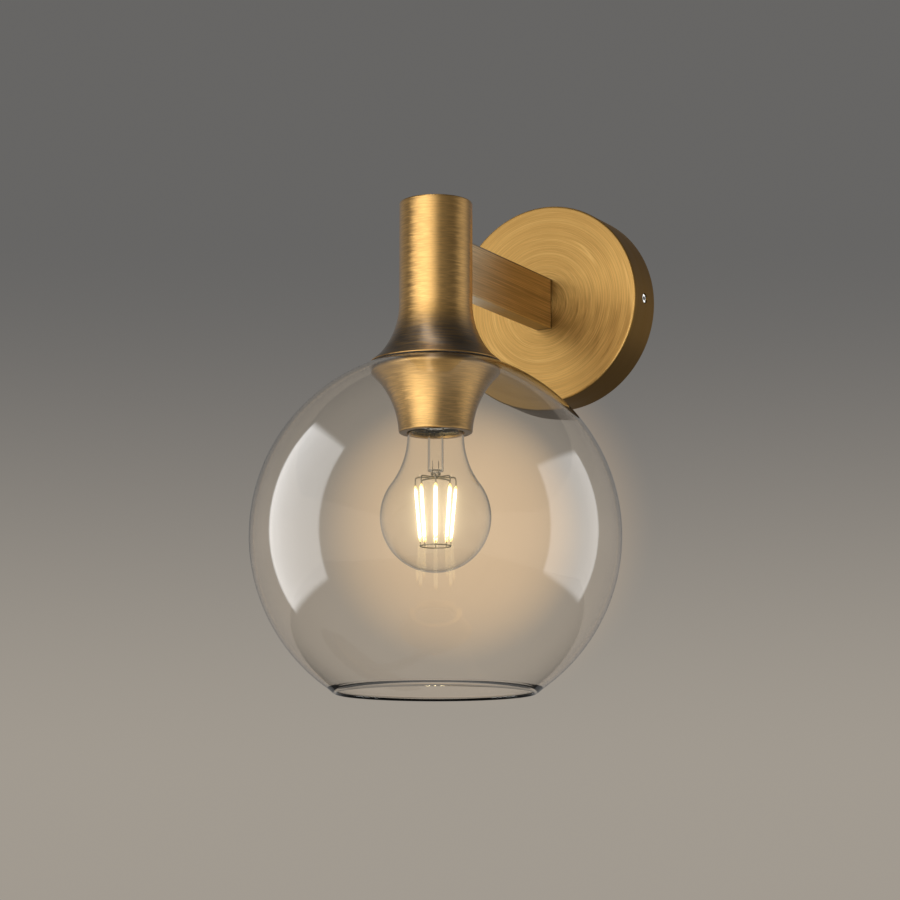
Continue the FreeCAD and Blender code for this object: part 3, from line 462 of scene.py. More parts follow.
def lengthwise_brass(name):
    """Brass brushed along the arm: the pattern is drawn out along Y and fine across it. The last three layers are
    painted light: painted shade along the upper edge, a painted highlight along the lower edge and a painted shadow
    line at the canopy."""
    s = Finish(name)
    fine = s.noise(s.place(scale=(1800, 18, 1800)), 1.0, 2.0, 0.6)
    strokes = s.noise(s.place(scale=(1100, 12, 1100)), 1.0)
    broad = s.noise(s.place(scale=(300, 7, 300)), 1.0)
    cloud = s.noise(s.place(), 40.0, 3.0)
    _, y, z = s.split(s.place())
    high, back = ARM_HEIGHT / 2 * MM, -CANOPY_DEPTH * MM
    tone = s.layers((0.42, 0.29, 0.14), ((0.84, 0.58, 0.29), fine, 0.0, 1.0, 0.34, 0.66),
                    ((0.34, 0.23, 0.10), strokes, 0.55, 0.0, 0.32, 0.50),
                    ((0.46, 0.31, 0.14), broad, 0.0, 0.2, 0.35, 0.7),
                    ((0.56, 0.38, 0.17), cloud, 0.0, 0.25, 0.35, 0.75),
                    # Painted light: shade along the upper edge, a highlight along the lower edge, and a shadow line
                    # at the canopy
                    ((0.08, 0.055, 0.03), z, 0.0, 0.85, high - 0.0010, high - 0.0006),
                    ((1.0, 0.80, 0.46), z, 0.7, 0.0, -high + 0.0006, -high + 0.0010),
                    ((0.08, 0.05, 0.03), y, 0.0, 0.85, back - 0.0012, back - 0.0008))
    rough = s.plus(s.between(fine, 0.33, 0.42), s.between(broad, -0.03, 0.05))
    return s.brushed(tone, rough, (0.0, 1.0, 0.0), s.centred(strokes, 0.08), s.centred(fine, 0.3),
                     Anisotropic=0.65, Coat_Weight=0.8)


def clear_glass(name, tint, edge, waves, start, ior=1.47):
    """Blown glass: clear, with slow waves in its surface, and painted shade towards its edge colour where it is seen
    edge on. start is the facing share from which the painted shade begins."""
    s = Finish(name)
    slow = s.noise(s.place(), waves, 1.0, 0.4)
    haze = s.noise(s.place(), waves * 3.0)
    # Painted shade: the colour turns darker towards edge where the glass is seen edge on
    rim = s.node("LayerWeight", [("Blend", 0.12)]).outputs["Facing"]
    colour = s.layers(tint, (tuple(0.985 * c for c in tint), haze, 0.0, 1.0), (edge, rim, 0.0, 1.0, start, 1.0))
    s.set(Base_Color=colour, Roughness=0.0, IOR=ior, Transmission_Weight=1.0, Normal=s.bump(slow, 0.05, 0.004))
    path = s.node("LightPath").outputs
    dull = s.times(path["Is Glossy Ray"], s.minus(1.0, path["Is Singular Ray"]))
    through = s.maths("MAXIMUM", path["Is Shadow Ray"], s.maths("MAXIMUM", path["Is Diffuse Ray"], dull))
    clear = s.node("BsdfTransparent").outputs[0]
    both = s.node("MixShader", [(0, through), (1, s.surface.outputs[0]), (2, clear)]).outputs[0]
    s.put(s.tree.nodes["Material Output"], "Surface", both)
    return s.material


def plain_finish(name, colour, metallic, roughness, grain=600.0, depth=0.00004, shade=0.85, coat=0.0):
    """Small parts' finish: a colour with a darker cloud of itself, a roughness that wanders and a fine grain."""
    s = Finish(name)
    cloud = s.noise(s.place(), 90.0, 3.0)
    fine = s.noise(s.place(), grain, 2.0, 0.6)
    tone = s.layers(colour, (tuple(shade * c for c in colour), cloud, 0.0, 1.0, 0.35, 0.7))
    return s.set(Base_Color=tone, Metallic=metallic, Coat_Weight=coat, Normal=s.bump(fine, 0.5, depth),
                 Roughness=s.between(fine, 0.85 * roughness, 1.15 * roughness))


def striped_sleeve(name, first, second):
    """Two colours of insulation side by side along the lead, split where x passes the lead's middle."""
    s = Finish(name)
    side = s.split(s.place(location=(-LEAD_MIDDLE, 0.0, 0.0)))[0]
    fine = s.noise(s.place(), 700.0)
    return s.set(Base_Color=s.layers(first, (second, side, 0.0, 1.0, -0.0001, 0.0001)),
                 Roughness=s.between(fine, 0.38, 0.5), Normal=s.bump(fine, 0.4, 0.00003))


def lit_strip(name):
    """Lit filament: warm light, weaker and golden towards both ends, and a little weaker between its chips. It is
    stronger straight through the glass, and its second image, in the globe behind the bulb, is dimmed."""
    s = Finish(name)
    height = s.split(s.place())[2]
    middle = 0.5 * (FILAMENT_TOP[1] + FILAMENT_BOTTOM[1]) * MM
    away = s.maths("ABSOLUTE", s.minus(height, middle))
    chips = s.maths("SINE", s.times(height, 2 * math.pi / CHIP))
    power = s.times(s.between(away, 1.0, 0.27, 0.0124, 0.0140), s.between(chips, 2.7, 3.3, -1.0, 1.0))
    path = s.node("LightPath").outputs
    for comparison, share in (("GREATER_THAN", 0.4), ("LESS_THAN", 2.2)):
        seen = s.times(path["Is Transmission Ray"], s.maths(comparison, path["Glossy Depth"], 0.5))
        power = s.times(power, s.between(seen, 1.0, share, 0.0, 1.0))
    golden = s.between(away, 0.0, 1.0, 0.0120, 0.0136)
    return s.set(Base_Color=(1.0, 0.83, 0.42, 1.0), Roughness=0.5, Emission_Strength=power,
                 Emission_Color=s.mix(golden, (1.0, 0.84, 0.50), (1.0, 0.58, 0.10)))


# The tube's flare is painted grey as shade between the first two heights, and it is left plain brass below the third,
# at the lip
tube_brass = brushed_brass("brushed_brass_tube", dim=(-0.031, -0.047, -0.0585))
cup_brass = brushed_brass("brushed_brass_cup", dash=3.0, tilt=0.18, slant=-1.0)
cap_brass = brushed_brass("brushed_brass_cap", dash=1.5, tilt=0.1, rings=0.5)
# The canopy's side, beyond CANOPY_SIDE, is painted darker as shade
canopy_brass = brushed_brass("brushed_brass_canopy", (0, 0, 0), (QUARTER, 0, 0), dash=2.2, tilt=0.05, rings=1.0,
                             lacquer=0.1, wall=CANOPY_SIDE)
arm_brass = lengthwise_brass("brushed_brass_arm")
# The second colour of each glass is its painted shade where it is seen edge on
globe_glass = clear_glass("clear_globe_glass", (0.985, 0.988, 0.985), (0.50, 0.49, 0.48), 9.0, 0.60)
bulb_glass = clear_glass("clear_bulb_glass", (0.99, 0.99, 0.985), (0.16, 0.15, 0.14), 30.0, 0.66, 1.26)
stem_glass = clear_glass("clear_stem_glass", (0.99, 0.99, 0.985), (0.03, 0.03, 0.03), 60.0, 0.70, 1.15)
phosphor = lit_strip("lit_phosphor")

# Small parts' finishes: what plain_finish takes after the name
finishes = {name: plain_finish(name, *values) for name, values in {
    "dark_silicone": ((0.06, 0.05, 0.04), 0.0, 0.5),
    "zinc_plate": ((0.62, 0.62, 0.60), 1.0, 0.34, 900.0, 0.00003, 0.86),
    "machined_brass": ((0.80, 0.58, 0.26), 1.0, 0.28, 500.0, 0.00003),
    "nickel_plate": ((0.72, 0.70, 0.66), 1.0, 0.20, 500.0, 0.00002, 0.9),
    "wire_steel": ((0.22, 0.18, 0.13), 1.0, 0.35, 500.0, 0.00002, 0.8),
    "glazed_steatite": ((0.82, 0.80, 0.75), 0.0, 0.25, 300.0, 0.00003, 0.95, 0.4),
    "black_moulding": ((0.02, 0.02, 0.02), 0.0, 0.45, 1500.0, 0.00005, 0.8),
    "white_moulding": ((0.80, 0.79, 0.75), 0.0, 0.42, 1500.0, 0.00005, 0.95),
    "circuit_board": ((0.03, 0.16, 0.06), 0.0, 0.4, 900.0, 0.00004, 0.7),
    "black_vitrite": ((0.015, 0.014, 0.02), 0.0, 0.12, 300.0, 0.00003, 0.8, 0.5),
    "brown_sleeve": ((0.13, 0.055, 0.025), 0.0, 0.42, 900.0, 0.00003),
    "blue_sleeve": ((0.03, 0.12, 0.42), 0.0, 0.42, 900.0, 0.00003),
}.items()}
finishes["earth_sleeve"] = striped_sleeve("earth_sleeve", (0.16, 0.36, 0.04), (0.72, 0.62, 0.05))

CAD_FINISHES = {
    "zinc_plate": ("wall_bracket", "canopy_lock_screws", "arm_backing_plate", "arm_root_screws", "arm_saddle",
                   "arm_body_screws", "bulkhead", "nipple", "nipple_nuts", "terminal_screws", "block_fixing_screw"),
    "machined_brass": ("arm_root_block", "arm_body_block", "centre_contact", "lampholder_terminals", "cup_sleeve",
                       "earth_screw"),
    "nickel_plate": ("bulb_contact_tip", "earth_lug"),
    "glazed_steatite": ("lampholder_insert",),
    "black_moulding": ("lampholder_cap", "lampholder_skirt"),
    "white_moulding": ("terminal_block",),
    "circuit_board": ("bulb_driver",),
    "black_vitrite": ("bulb_insulator",),
    "brown_sleeve": ("live_lead",),
    "blue_sleeve": ("neutral_lead",),
    "earth_sleeve": ("earth_lead",),
}
for finish_name, node_names in CAD_FINISHES.items():
    for node_name in node_names:
        mesh = frame["nodes"][node_name].data
        mesh.materials.clear()
        mesh.materials.append(finishes[finish_name])


# Body tube and its cap

def tube_profile():
    """Outside down to the flare's lip, along the gasket, and back up the bore, with its edges softened. Over its last
    8 mm the flare rises off its circle by LIP_EDGE, so that it ends in half a round and not in a sharp wedge."""
    seat = GLOBE_RADIUS + GASKET + SEAT_GAP
    inner = FLARE_CURVE + TUBE_WALL
    lip_in = crossing(GLOBE_CENTRE, seat, FLARE_CENTRE, inner)
    soft = 1.0
    lip_out = crossing(GLOBE_CENTRE, seat, FLARE_CENTRE, FLARE_CURVE)
    last = angle_of(FLARE_CENTRE, lip_out)
    t = np.linspace(-QUARTER, last, 80)
    near = np.clip(1 - (t - last) * FLARE_CURVE / 8, 0, 1)
    reach = FLARE_CURVE - LIP_EDGE * near ** 2 * (3 - 2 * near)
    outside = np.array(FLARE_CENTRE) + reach[:, None] * np.column_stack([np.sin(t), np.cos(t)])
    inside = arc_between(FLARE_CENTRE, inner, lip_in, (TUBE_BORE, FLARE_START), 50)
    lip = arc(circle_point(FLARE_CENTRE, FLARE_CURVE - LIP_EDGE / 2, last), LIP_EDGE / 2, last + math.pi,
              last + 2 * math.pi, 11)[1:]
    seat_line = arc(GLOBE_CENTRE, seat, angle_of(GLOBE_CENTRE, lip_out), angle_of(GLOBE_CENTRE, lip_in), 6)[1:]
    return np.vstack([
        [(TUBE_BORE, TUBE_TOP - 0.2), (TUBE_BORE + 0.2, TUBE_TOP)],
        arc((TUBE_RADIUS - soft, TUBE_TOP - soft), soft, 0, QUARTER, 9),
        [(TUBE_RADIUS, z) for z in np.linspace(TUBE_TOP - 3, FLARE_START + 1, 24)],
        outside, lip, seat_line, inside,
        [(TUBE_BORE, z) for z in np.linspace(FLARE_START + 2, TUBE_TOP - 2, 10)]])


piece("body_tube_surface", turned(tube_profile(), 200), "fixture", tube_brass, ["body_tube"])

CAP_OUTER = TUBE_BORE - SEAT_GAP
cap_profile = np.vstack([
    [(0, TUBE_TOP)], [(r, TUBE_TOP) for r in np.linspace(2, CAP_OUTER - 1.2, 12)],
    arc((CAP_OUTER - 0.5, TUBE_TOP - 0.5), 0.5, 0, QUARTER, 6),
    [(CAP_OUTER, TUBE_TOP - 7), (CAP_OUTER - 1.5, TUBE_TOP - 7), (CAP_OUTER - 1.5, TUBE_TOP - 2.6),
     (CAP_OUTER - 2.1, TUBE_TOP - 2), (0, TUBE_TOP - 2)]])
piece("top_cap_surface", turned(cap_profile, 160, closed=False), "fixture", cap_brass, ["top_cap"])


# Cup under the globe

def cup_profile():
    """Foot, outside flare, rounded lip, the rest along the glass, and back down the inside."""
    seat = GLOBE_RADIUS - GLASS_WALL - GASKET - SEAT_GAP
    inner = CUP_CURVE + CUP_WALL
    foot = (CUP_CENTRE[0] - math.sqrt(CUP_CURVE ** 2 - (CUP_BOTTOM + 1 - CUP_CENTRE[1]) ** 2), CUP_BOTTOM + 1)
    lip = crossing(GLOBE_CENTRE, seat - CUP_LIP, CUP_CENTRE, CUP_CURVE + CUP_LIP)
    lip_start = angle_of(CUP_CENTRE, lip)
    throat = math.asin(CUP_THROAT / seat)
    inner_throat = math.asin(CUP_THROAT / (seat - CUP_WALL))
    inner_lip = crossing(GLOBE_CENTRE, seat - CUP_WALL, CUP_CENTRE, inner)
    floor = CUP_BOTTOM + CUP_WALL
    floor_r = CUP_CENTRE[0] - math.sqrt(inner ** 2 - (floor - CUP_CENTRE[1]) ** 2)
    low = angle_of(lip, CUP_CENTRE)
    high = angle_of(GLOBE_CENTRE, lip)
    return np.vstack([
        arc((CUP_HOLE + 0.3, CUP_BOTTOM + 0.3), 0.3, -QUARTER, -math.pi, 5),
        [(r, CUP_BOTTOM) for r in np.linspace(CUP_HOLE + 1, foot[0] - 1.2, 5)],
        arc((foot[0] - 1, foot[1]), 1.0, math.pi, QUARTER, 9),
        arc(CUP_CENTRE, CUP_CURVE, angle_of(CUP_CENTRE, foot) + 0.01, lip_start, 70),
        arc(lip, CUP_LIP, low, high, 20)[1:],
        arc(GLOBE_CENTRE, seat, high, throat, 10)[1:],
        arc(GLOBE_CENTRE, seat - CUP_WALL, inner_throat, angle_of(GLOBE_CENTRE, inner_lip), 8),
        arc_between(CUP_CENTRE, inner, inner_lip, (floor_r, floor + 0.6), 50),
        [(floor_r - 0.6, floor), (CUP_HOLE, floor)]])


piece("cup_surface", turned(cup_profile(), 200), "fixture", cup_brass, ["cup"])


# Gaskets at the glass

def gasket(name, inner, outer, middle, node_name):
    """Ring of silicone between two spheres about the globe's middle, its edges rounded."""
    near, far = middle - 1.5, middle + 1.5
    mid = (inner + outer) / 2
    half = (outer - inner) / 2
    ends = [math.asin((near + half) / mid), math.asin((far - half) / mid)]
    top = arc(GLOBE_CENTRE, outer, ends[0], ends[1], 5)
    low = arc(GLOBE_CENTRE, inner, ends[1], ends[0], 5)
    right = arc(circle_point(GLOBE_CENTRE, mid, ends[1]), half, ends[1], ends[1] + math.pi, 9)[1:-1]
    left = arc(circle_point(GLOBE_CENTRE, mid, ends[0]), half, ends[0] - math.pi, ends[0], 9)[1:-1]
    piece(name, turned(np.vstack([top, right, low, left]), 160), "fixture", finishes["dark_silicone"],
          [node_name])


upper_seat = GLOBE_RADIUS + GASKET
gasket("upper_gasket_ring", GLOBE_RADIUS + SEAT_GAP, upper_seat,
       crossing(GLOBE_CENTRE, upper_seat, FLARE_CENTRE, FLARE_CURVE)[0] - 2.0, "upper_gasket")
gasket("lower_gasket_ring", GLOBE_RADIUS - GLASS_WALL - GASKET, GLOBE_RADIUS - GLASS_WALL - SEAT_GAP,
       CUP_THROAT + 1.5, "lower_gasket")


# Globe: one closed wall, its mouth fire-polished to a full round and its neck hole ground with soft edges

def globe_profile():
    """Both sides of a wall along the middle sphere, middle + h and middle - h. h is half the wall and swells, over
    the last few millimetres, to the bead's radius: f^2 (3 - 2 f) of the way. The bead's end is half a circle."""
    middle = GLOBE_RADIUS - GLASS_WALL / 2
    neck = math.asin(NECK_RADIUS / middle)
    low = math.pi - math.asin(MOUTH_RADIUS / middle)
    t = np.concatenate([np.linspace(neck + 0.004, low - 0.06, 150), np.linspace(low - 0.056, low, 20)])
    near = np.clip((t - low) * middle / 4.5 + 1, 0, 1)
    h = GLASS_WALL / 2 + (MOUTH_BEAD - GLASS_WALL / 2) * near ** 2 * (3 - 2 * near)
    way = np.column_stack([np.sin(t), np.cos(t)])
    outer = np.array(GLOBE_CENTRE) + (middle + h)[:, None] * way
    inner = np.array(GLOBE_CENTRE) + (middle - h)[:, None] * way
    return np.vstack([
        arc(GLOBE_CENTRE, GLOBE_RADIUS - 0.3, neck, neck, 1), outer,
        arc(circle_point(GLOBE_CENTRE, middle, low), MOUTH_BEAD, low, low + math.pi, 17)[1:-1],
        inner[::-1], arc(GLOBE_CENTRE, GLOBE_RADIUS - GLASS_WALL + 0.3, neck, neck, 1)])


piece("globe_glass_wall", turned(globe_profile(), 220), "fixture", globe_glass, ["globe"], crease=60)


# Canopy: turned about the Y axis, with a round hole in its wall on each side for the lock screws

def canopy_surface(steps=240, block=5):
    """The profile runs from the wall's rim over the outside to the middle of the face, and back along the inside:
    (r cos a, y, r sin a). Round each lock hole a block of the wall's grid is left out. The strip from the block's
    border B to the hole's circle C is (1 - t) B + t C on the cylinder, with C in B's direction from the middle."""
    soft = 1.2
    face = -CANOPY_DEPTH
    mid = LOCK_HOLE_Y
    half = block * 2 * math.pi / steps * CANOPY_RADIUS
    ys = np.concatenate([[0.0, -0.4], np.linspace(-2.0, mid + half + 1.6, 4),
                         np.linspace(mid + half, mid - half, 2 * block + 1),
                         np.linspace(mid - half - 1.6, face + soft + 1.0, 4)])

    def wall(radius):
        """Wall with its two holes, and the loops of points round the holes in order."""
        a = 2 * math.pi * np.arange(steps) / steps
        rim = radius - np.where(ys > -0.2, RIM_BREAK, 0.0) * (1 if radius == CANOPY_RADIUS else -1)
        points = np.stack([rim[:, None] * np.cos(a), ys[:, None] + 0 * a, rim[:, None] * np.sin(a)], -1)
        faces = grid_faces(len(ys), steps, False, True)
        top = int(np.argmin(abs(ys - (mid + half))))
        rows, columns = faces[:, 0] // steps, faces[:, 0] % steps
        gone = np.zeros(len(faces), bool)
        loops = []
        for turn in (0, steps // 2):
            shift = (columns - turn + steps // 2) % steps - steps // 2
            gone |= (rows >= top) & (rows < top + 2 * block) & (shift >= -block) & (shift < block)
            side = np.arange(-block, block + 1)
            i = np.concatenate([0 * side, side[1:] + block, 0 * side[1:] + 2 * block, side[1:-1][::-1] + block])
            j = np.concatenate([side, 0 * side[1:] + block, side[1:][::-1] - 1, 0 * side[1:-1] - block])
            loops.append((top + i) * steps + (turn + j) % steps)
        return points.reshape(-1, 3), faces[~gone], loops

    surfaces = []
    circles = []
    for radius in (CANOPY_RADIUS, CANOPY_RADIUS - CANOPY_WALL):
        points, faces, loops = wall(radius)
        surfaces.append((points, faces))
        for turn, loop in zip((0.0, math.pi), loops):
            border = points[loop]
            a = np.arctan2(border[:, 2], border[:, 0]) - turn
            a = (a + math.pi) % (2 * math.pi) - math.pi
            u, v = radius * a, border[:, 1] - mid
            reach = np.hypot(u, v)
            t = np.linspace(0, 1, 6)[:, None]
            cu = (1 - t) * u + t * u / reach * LOCK_HOLE
            cv = (1 - t) * v + t * v / reach * LOCK_HOLE
            strip = np.stack([radius * np.cos(turn + cu / radius), mid + cv, radius * np.sin(turn + cu / radius)], -1)
            surfaces.append(band(strip))
            circles.append(strip[-1])
    surfaces += [band(np.stack(pair)) for pair in zip(circles[:2], circles[2:])]

    a = 2 * math.pi * np.arange(steps) / steps
    for radius, y in ((CANOPY_RADIUS, face), (CANOPY_RADIUS - CANOPY_WALL, face + CANOPY_WALL)):
        profile = np.vstack([[(radius, ys[-1])], arc((radius - soft, y + soft), soft, QUARTER, math.pi, 8),
                             [(r, y) for r in np.linspace(radius - soft - 1.0, 0, 30)]])
        r, h = profile[:, :1], profile[:, 1:]
        surfaces.append(band(np.stack([r * np.cos(a), h + 0 * a, r * np.sin(a)], -1)))
    rims = (CANOPY_RADIUS - RIM_BREAK, CANOPY_RADIUS - CANOPY_WALL + RIM_BREAK)
    surfaces.append(band(np.stack([np.stack([r * np.cos(a), 0 * a, r * np.sin(a)], -1) for r in rims])))
    return joined(surfaces)


piece("canopy_surface", canopy_surface(), "fixture", canopy_brass, ["canopy"])


# Arm: a rectangular tube, its far end coped to the round of the body tube

def arm_surface():
    """Rounded rectangle (x, z) carried along Y. At the far end y is axis + sqrt(R^2 - x^2), the cylinder of the body,
    and at the canopy it is the face. Each end has a strip as wide as the wall and a plate, where the block fills the
    bore."""
    def at_body(x):
        return AXIS_Y + np.sqrt((TUBE_RADIUS + SEAT_GAP) ** 2 - x ** 2)

    w, h = ARM_WIDTH / 2, ARM_HEIGHT / 2
    corners = np.array([(-w, -h), (w, -h), (w, h), (-w, h)])
    around = zip(np.roll(corners, 1, 0), corners, np.roll(corners, -1, 0))
    corners = np.vstack([cut_corner(before, corner, after, ARM_ROUND) for before, corner, after in around])
    sides = []
    for p, q in zip(corners, np.roll(corners, -1, 0)):
        count = max(2, int(np.linalg.norm(q - p)))
        sides.append(p + (q - p) * np.linspace(0, 1, count, endpoint=False)[:, None])
    section = np.vstack(sides)
    start = at_body(section[:, 0])
    rows = []
    for t in np.linspace(0, 1, 16):
        y = (1 - t) * start + t * (-CANOPY_DEPTH - ARM_ROUND)
        rows.append(np.column_stack([section[:, 0], y, section[:, 1]]))
    inset = section - ARM_ROUND * np.sign(section) * (abs(section) > [w - 1e-3, h - 1e-3])
    rows.append(np.column_stack([inset[:, 0], 0 * start - CANOPY_DEPTH, inset[:, 1]]))
    strips, plates = [], []
    for ring in (rows[0], rows[-1]):
        inner = ring.copy()
        inner[:, 0] *= (ARM_WIDTH - 2 * ARM_WALL) / ARM_WIDTH
        inner[:, 2] *= (ARM_HEIGHT - 2 * ARM_WALL) / ARM_HEIGHT
        if ring is rows[0]:
            inner[:, 1] = at_body(inner[:, 0])
        strips.append(band(np.stack([ring, inner])))
        plates.append(band(np.stack([inner, np.repeat(inner.mean(0)[None], len(inner), 0)])))
    return joined([band(np.array(rows))] + strips + plates)


piece("arm_bar", arm_surface(), "fixture", arm_brass, ["arm"], crease=30)


# Bulb: glass, stem, support wires, filaments, ring and screw cap

def bulb_profile():
    """A ball, a hollow arc up to the neck, and a taper into the cap, b0 (1-t)^3 + 3 b1 t (1-t)^2 + 3 b2 t^2 (1-t) +
    b3 t^3, on the outside and again a wall's width inside."""
    hollow = circle_point(BULB_CENTRE, BULB_RADIUS + BULB_HOLLOW, BULB_LEAVE)

    def side(inset):
        bore = CAP_RADIUS - CAP_SHEET - SEAT_GAP - inset
        neck = (hollow[0] - BULB_HOLLOW - inset, hollow[1])
        leave = circle_point(BULB_CENTRE, BULB_RADIUS, BULB_LEAVE)
        hollow_end = angle_of(hollow, leave)
        if hollow_end > 0:
            hollow_end -= 2 * math.pi
        blend = np.array([(bore, CAP_EDGE + 0.3), (bore, CAP_EDGE - 1.6), (neck[0], neck[1] + 1.6), neck])
        t = np.linspace(0, 1, 14)[:, None]
        taper = ((1 - t) ** 3 * blend[0] + 3 * t * (1 - t) ** 2 * blend[1]
                 + 3 * t ** 2 * (1 - t) * blend[2] + t ** 3 * blend[3])
        outline = np.vstack([
            [(bore, CAP_EDGE + GLASS_TUCK)], taper,
            arc(hollow, BULB_HOLLOW + inset, angle_of(hollow, neck), hollow_end, 40)[1:],
            arc(BULB_CENTRE, BULB_RADIUS - inset, BULB_LEAVE, math.pi, 80)[1:]])
        outline[-1, 0] = 0
        return outline

    return side(0.0), side(BULB_WALL)


outside, inside = bulb_profile()
rim = np.vstack([outside[:1], inside[:1]])
bulb_wall = joined([turned(profile, 160, closed=False) for profile in (outside, inside, rim)])
piece("bulb_glass_wall", bulb_wall, "bulb", bulb_glass, ["bulb_glass"], crease=60)


def stem_surface():
    """Flared glass foot, r + (foot - r) (1 - f)^2.6, the stem's tube with a flat end, and below it the flattened
    pinch: c = PINCH times |cos a|^0.6 and |sin a|^0.6, with their signs."""
    foot = CAP_RADIUS - CAP_SHEET - BULB_WALL - 0.15
    top = CAP_EDGE + STEM_FOOT
    r, t = STEM_RADIUS, STEM_WALL
    flare = np.linspace(0, 1, 14)
    curve = (1 - flare) ** 2.6
    outer = np.column_stack([r + (foot - r) * curve, top - t - 8.0 * flare])
    inner = np.column_stack([r - t + (foot - r) * curve[::-1], top - 8.0 * flare[::-1]])
    wall = turned(np.vstack([
        outer, arc((r - 0.7, STEM_END + 0.7), 0.7, QUARTER, math.pi, 6), [(0, STEM_END)], [(0, STEM_END + t)],
        arc((r - t - 0.5, STEM_END + t + 0.5), 0.5, math.pi, QUARTER, 5), inner, outer[:1]]), 72, closed=False)
    z = np.linspace(HUB, STEM_END + 0.3, 9)
    spread = 1 + 0.35 * ((z - HUB) / (STEM_END - HUB)) ** 3
    path = np.column_stack([0 * z, AXIS_Y + 0 * z, z])
    a = round_angles(32)
    oval = np.column_stack([PINCH[0] * np.sign(np.cos(a)) * abs(np.cos(a)) ** 0.6,
                            PINCH[1] * np.sign(np.sin(a)) * abs(np.sin(a)) ** 0.6, 0 * a])
    return joined([wall, ended(path, path[:, None] + oval * spread[:, None, None])])


piece("bulb_stem_glass", stem_surface(), "bulb", stem_glass, ["bulb_stem"], crease=45)


def round_turn(index):
    """Direction of a filament from the axis."""
    a = FILAMENT_TURN + 2 * math.pi * index / FILAMENTS
    return np.array([math.cos(a), math.sin(a), 0.0])


def at(direction, radius, z):
    """Point at a distance from the body's axis in a direction."""
    return direction * radius + np.array([0, AXIS_Y, z])


def support_surface():
    """Hub with a wire to each filament, which goes out level and bends down, two leads up into the pinch, and a coil
    round the pinch: (2.9 cos t, 1.5 sin t, top - 0.7 t / turn)."""
    level = HUB - 0.6
    hub = np.vstack([[(0, HUB)], arc((0.9, HUB - 0.3), 0.3, 0, QUARTER, 4),
                     arc((0.9, HUB - 0.9), 0.3, QUARTER, math.pi, 4), [(0, HUB - 1.2)]])
    parts = [turned(hub, 24, closed=False)]
    for i in range(FILAMENTS):
        way = round_turn(i)
        start, corner, end = (at(way, 0.6, level), at(way, FILAMENT_TOP[0], level),
                              at(way, FILAMENT_TOP[0], FILAMENT_TOP[1] + SEAT_GAP))
        path = np.vstack([start, cut_corner(start, corner, end, 1.6), end])
        parts.append(swept(path, round_outline(WIRE), np.cross(way, (0, 0, 1))))
    seen = np.array([math.cos(VIEW_TURN), math.sin(VIEW_TURN), 0.0])
    for side in (-1.6, 1.6):
        lead = [at(seen, side, z) for z in np.linspace(STEM_END + 6, level, 9)]
        parts.append(swept(lead, round_outline(0.22, 8), np.cross(seen, (0, 0, 1))))
    t = np.linspace(0, 5 * math.pi, 80)
    coil = np.column_stack([2.9 * np.cos(t), AXIS_Y + 1.5 * np.sin(t), STEM_END - 0.5 - 0.7 * t / (2 * math.pi)])
    parts.append(swept(coil, round_outline(0.16, 8)))
    return joined(parts)


piece("bulb_support_spider", support_surface(), "bulb", finishes["wire_steel"], ["bulb_support_wires"])


def filament_surface():
    """Eight strips of oval section from top to bottom circle, rounded off at both ends by sqrt(1 - f^2)."""
    parts = []
    t = np.linspace(0, 1, 26)
    girth = np.sqrt(np.clip(1 - np.clip((abs(t - 0.5) - 0.475) / 0.025, 0, 1) ** 2, 0.02, 1))
    ring = round_outline(0.9, 14, 0.8)
    for i in range(FILAMENTS):
        way = round_turn(i)
        top, low = at(way, *FILAMENT_TOP), at(way, *FILAMENT_BOTTOM)
        path = top + (low - top) * t[:, None]
        over = np.cross(low - top, np.cross(way, (0, 0, 1)))
        over /= np.linalg.norm(over)
        side = np.cross(over, low - top)
        side /= np.linalg.norm(side)
        rows = path[:, None] + girth[:, None, None] * (ring[None, :, :1] * side + ring[None, :, 1:] * over)
        parts.append(ended(path, rows))
    return joined(parts)


piece("led_filament_strips", filament_surface(), "bulb", phosphor, ["led_filaments"])


def ring_surface():
    """Wire ring: ((R + w cos b) cos a, (R + w cos b) sin a, w sin b), with a leg up to each filament."""
    b = round_angles(12)
    section = np.column_stack([FILAMENT_BOTTOM[0] + WIRE * np.cos(b), RING_Z + WIRE * np.sin(b)])
    parts = [turned(section, 96)]
    for i in range(FILAMENTS):
        way = round_turn(i)
        leg = [at(way, FILAMENT_BOTTOM[0], z) for z in np.linspace(RING_Z, FILAMENT_BOTTOM[1] - 0.15, 5)]
        parts.append(swept(leg, round_outline(0.7 * WIRE, 10), way))
    return joined(parts)


piece("filament_wire_ring", ring_surface(), "bulb", finishes["wire_steel"], ["filament_ring"])


def thread(share):
    """Rounded right-hand thread: r - d/2 + d/2 cos(2 pi z / pitch - a), faded in by a share that depends on z."""
    def swell(r, z, a):
        wave = 0.5 * THREAD_DEPTH * (np.cos(2 * math.pi * z / THREAD_PITCH - a) - 1)
        return r + share(z) * wave
    return swell


def rise(z, start, end):
    """0 below start and 1 above end, smooth between."""
    t = np.clip((z - start) / (end - start), 0, 1)
    return t * t * (3 - 2 * t)


def screw_cap():
    """Sleeve with a plain skirt, a thread and a cone up to the insulator, and its inside a sheet's width smaller."""
    def share(h):
        return rise(h, *THREAD_IN) * (1 - rise(h, *THREAD_OUT))

    z = np.concatenate([np.linspace(CAP_EDGE, CAP_EDGE + 0.6, 3),
                        np.linspace(CAP_EDGE + 1.0, CAP_SHOULDER - 1.4, 120)])
    outside = np.vstack([np.column_stack([CAP_RADIUS - 0.15 * (z < CAP_EDGE + 0.3), z]),
                         [(CAP_RADIUS - 0.5, CAP_SHOULDER - 0.9), (CAP_RADIUS - 1.2, CAP_SHOULDER)]])
    inside = outside - np.array([CAP_SHEET, 0])
    return turned(np.vstack([outside, inside[::-1]]), 120, True, thread(share))


piece("bulb_screw_cap", screw_cap(), "bulb", finishes["nickel_plate"], ["bulb_cap"], crease=60)


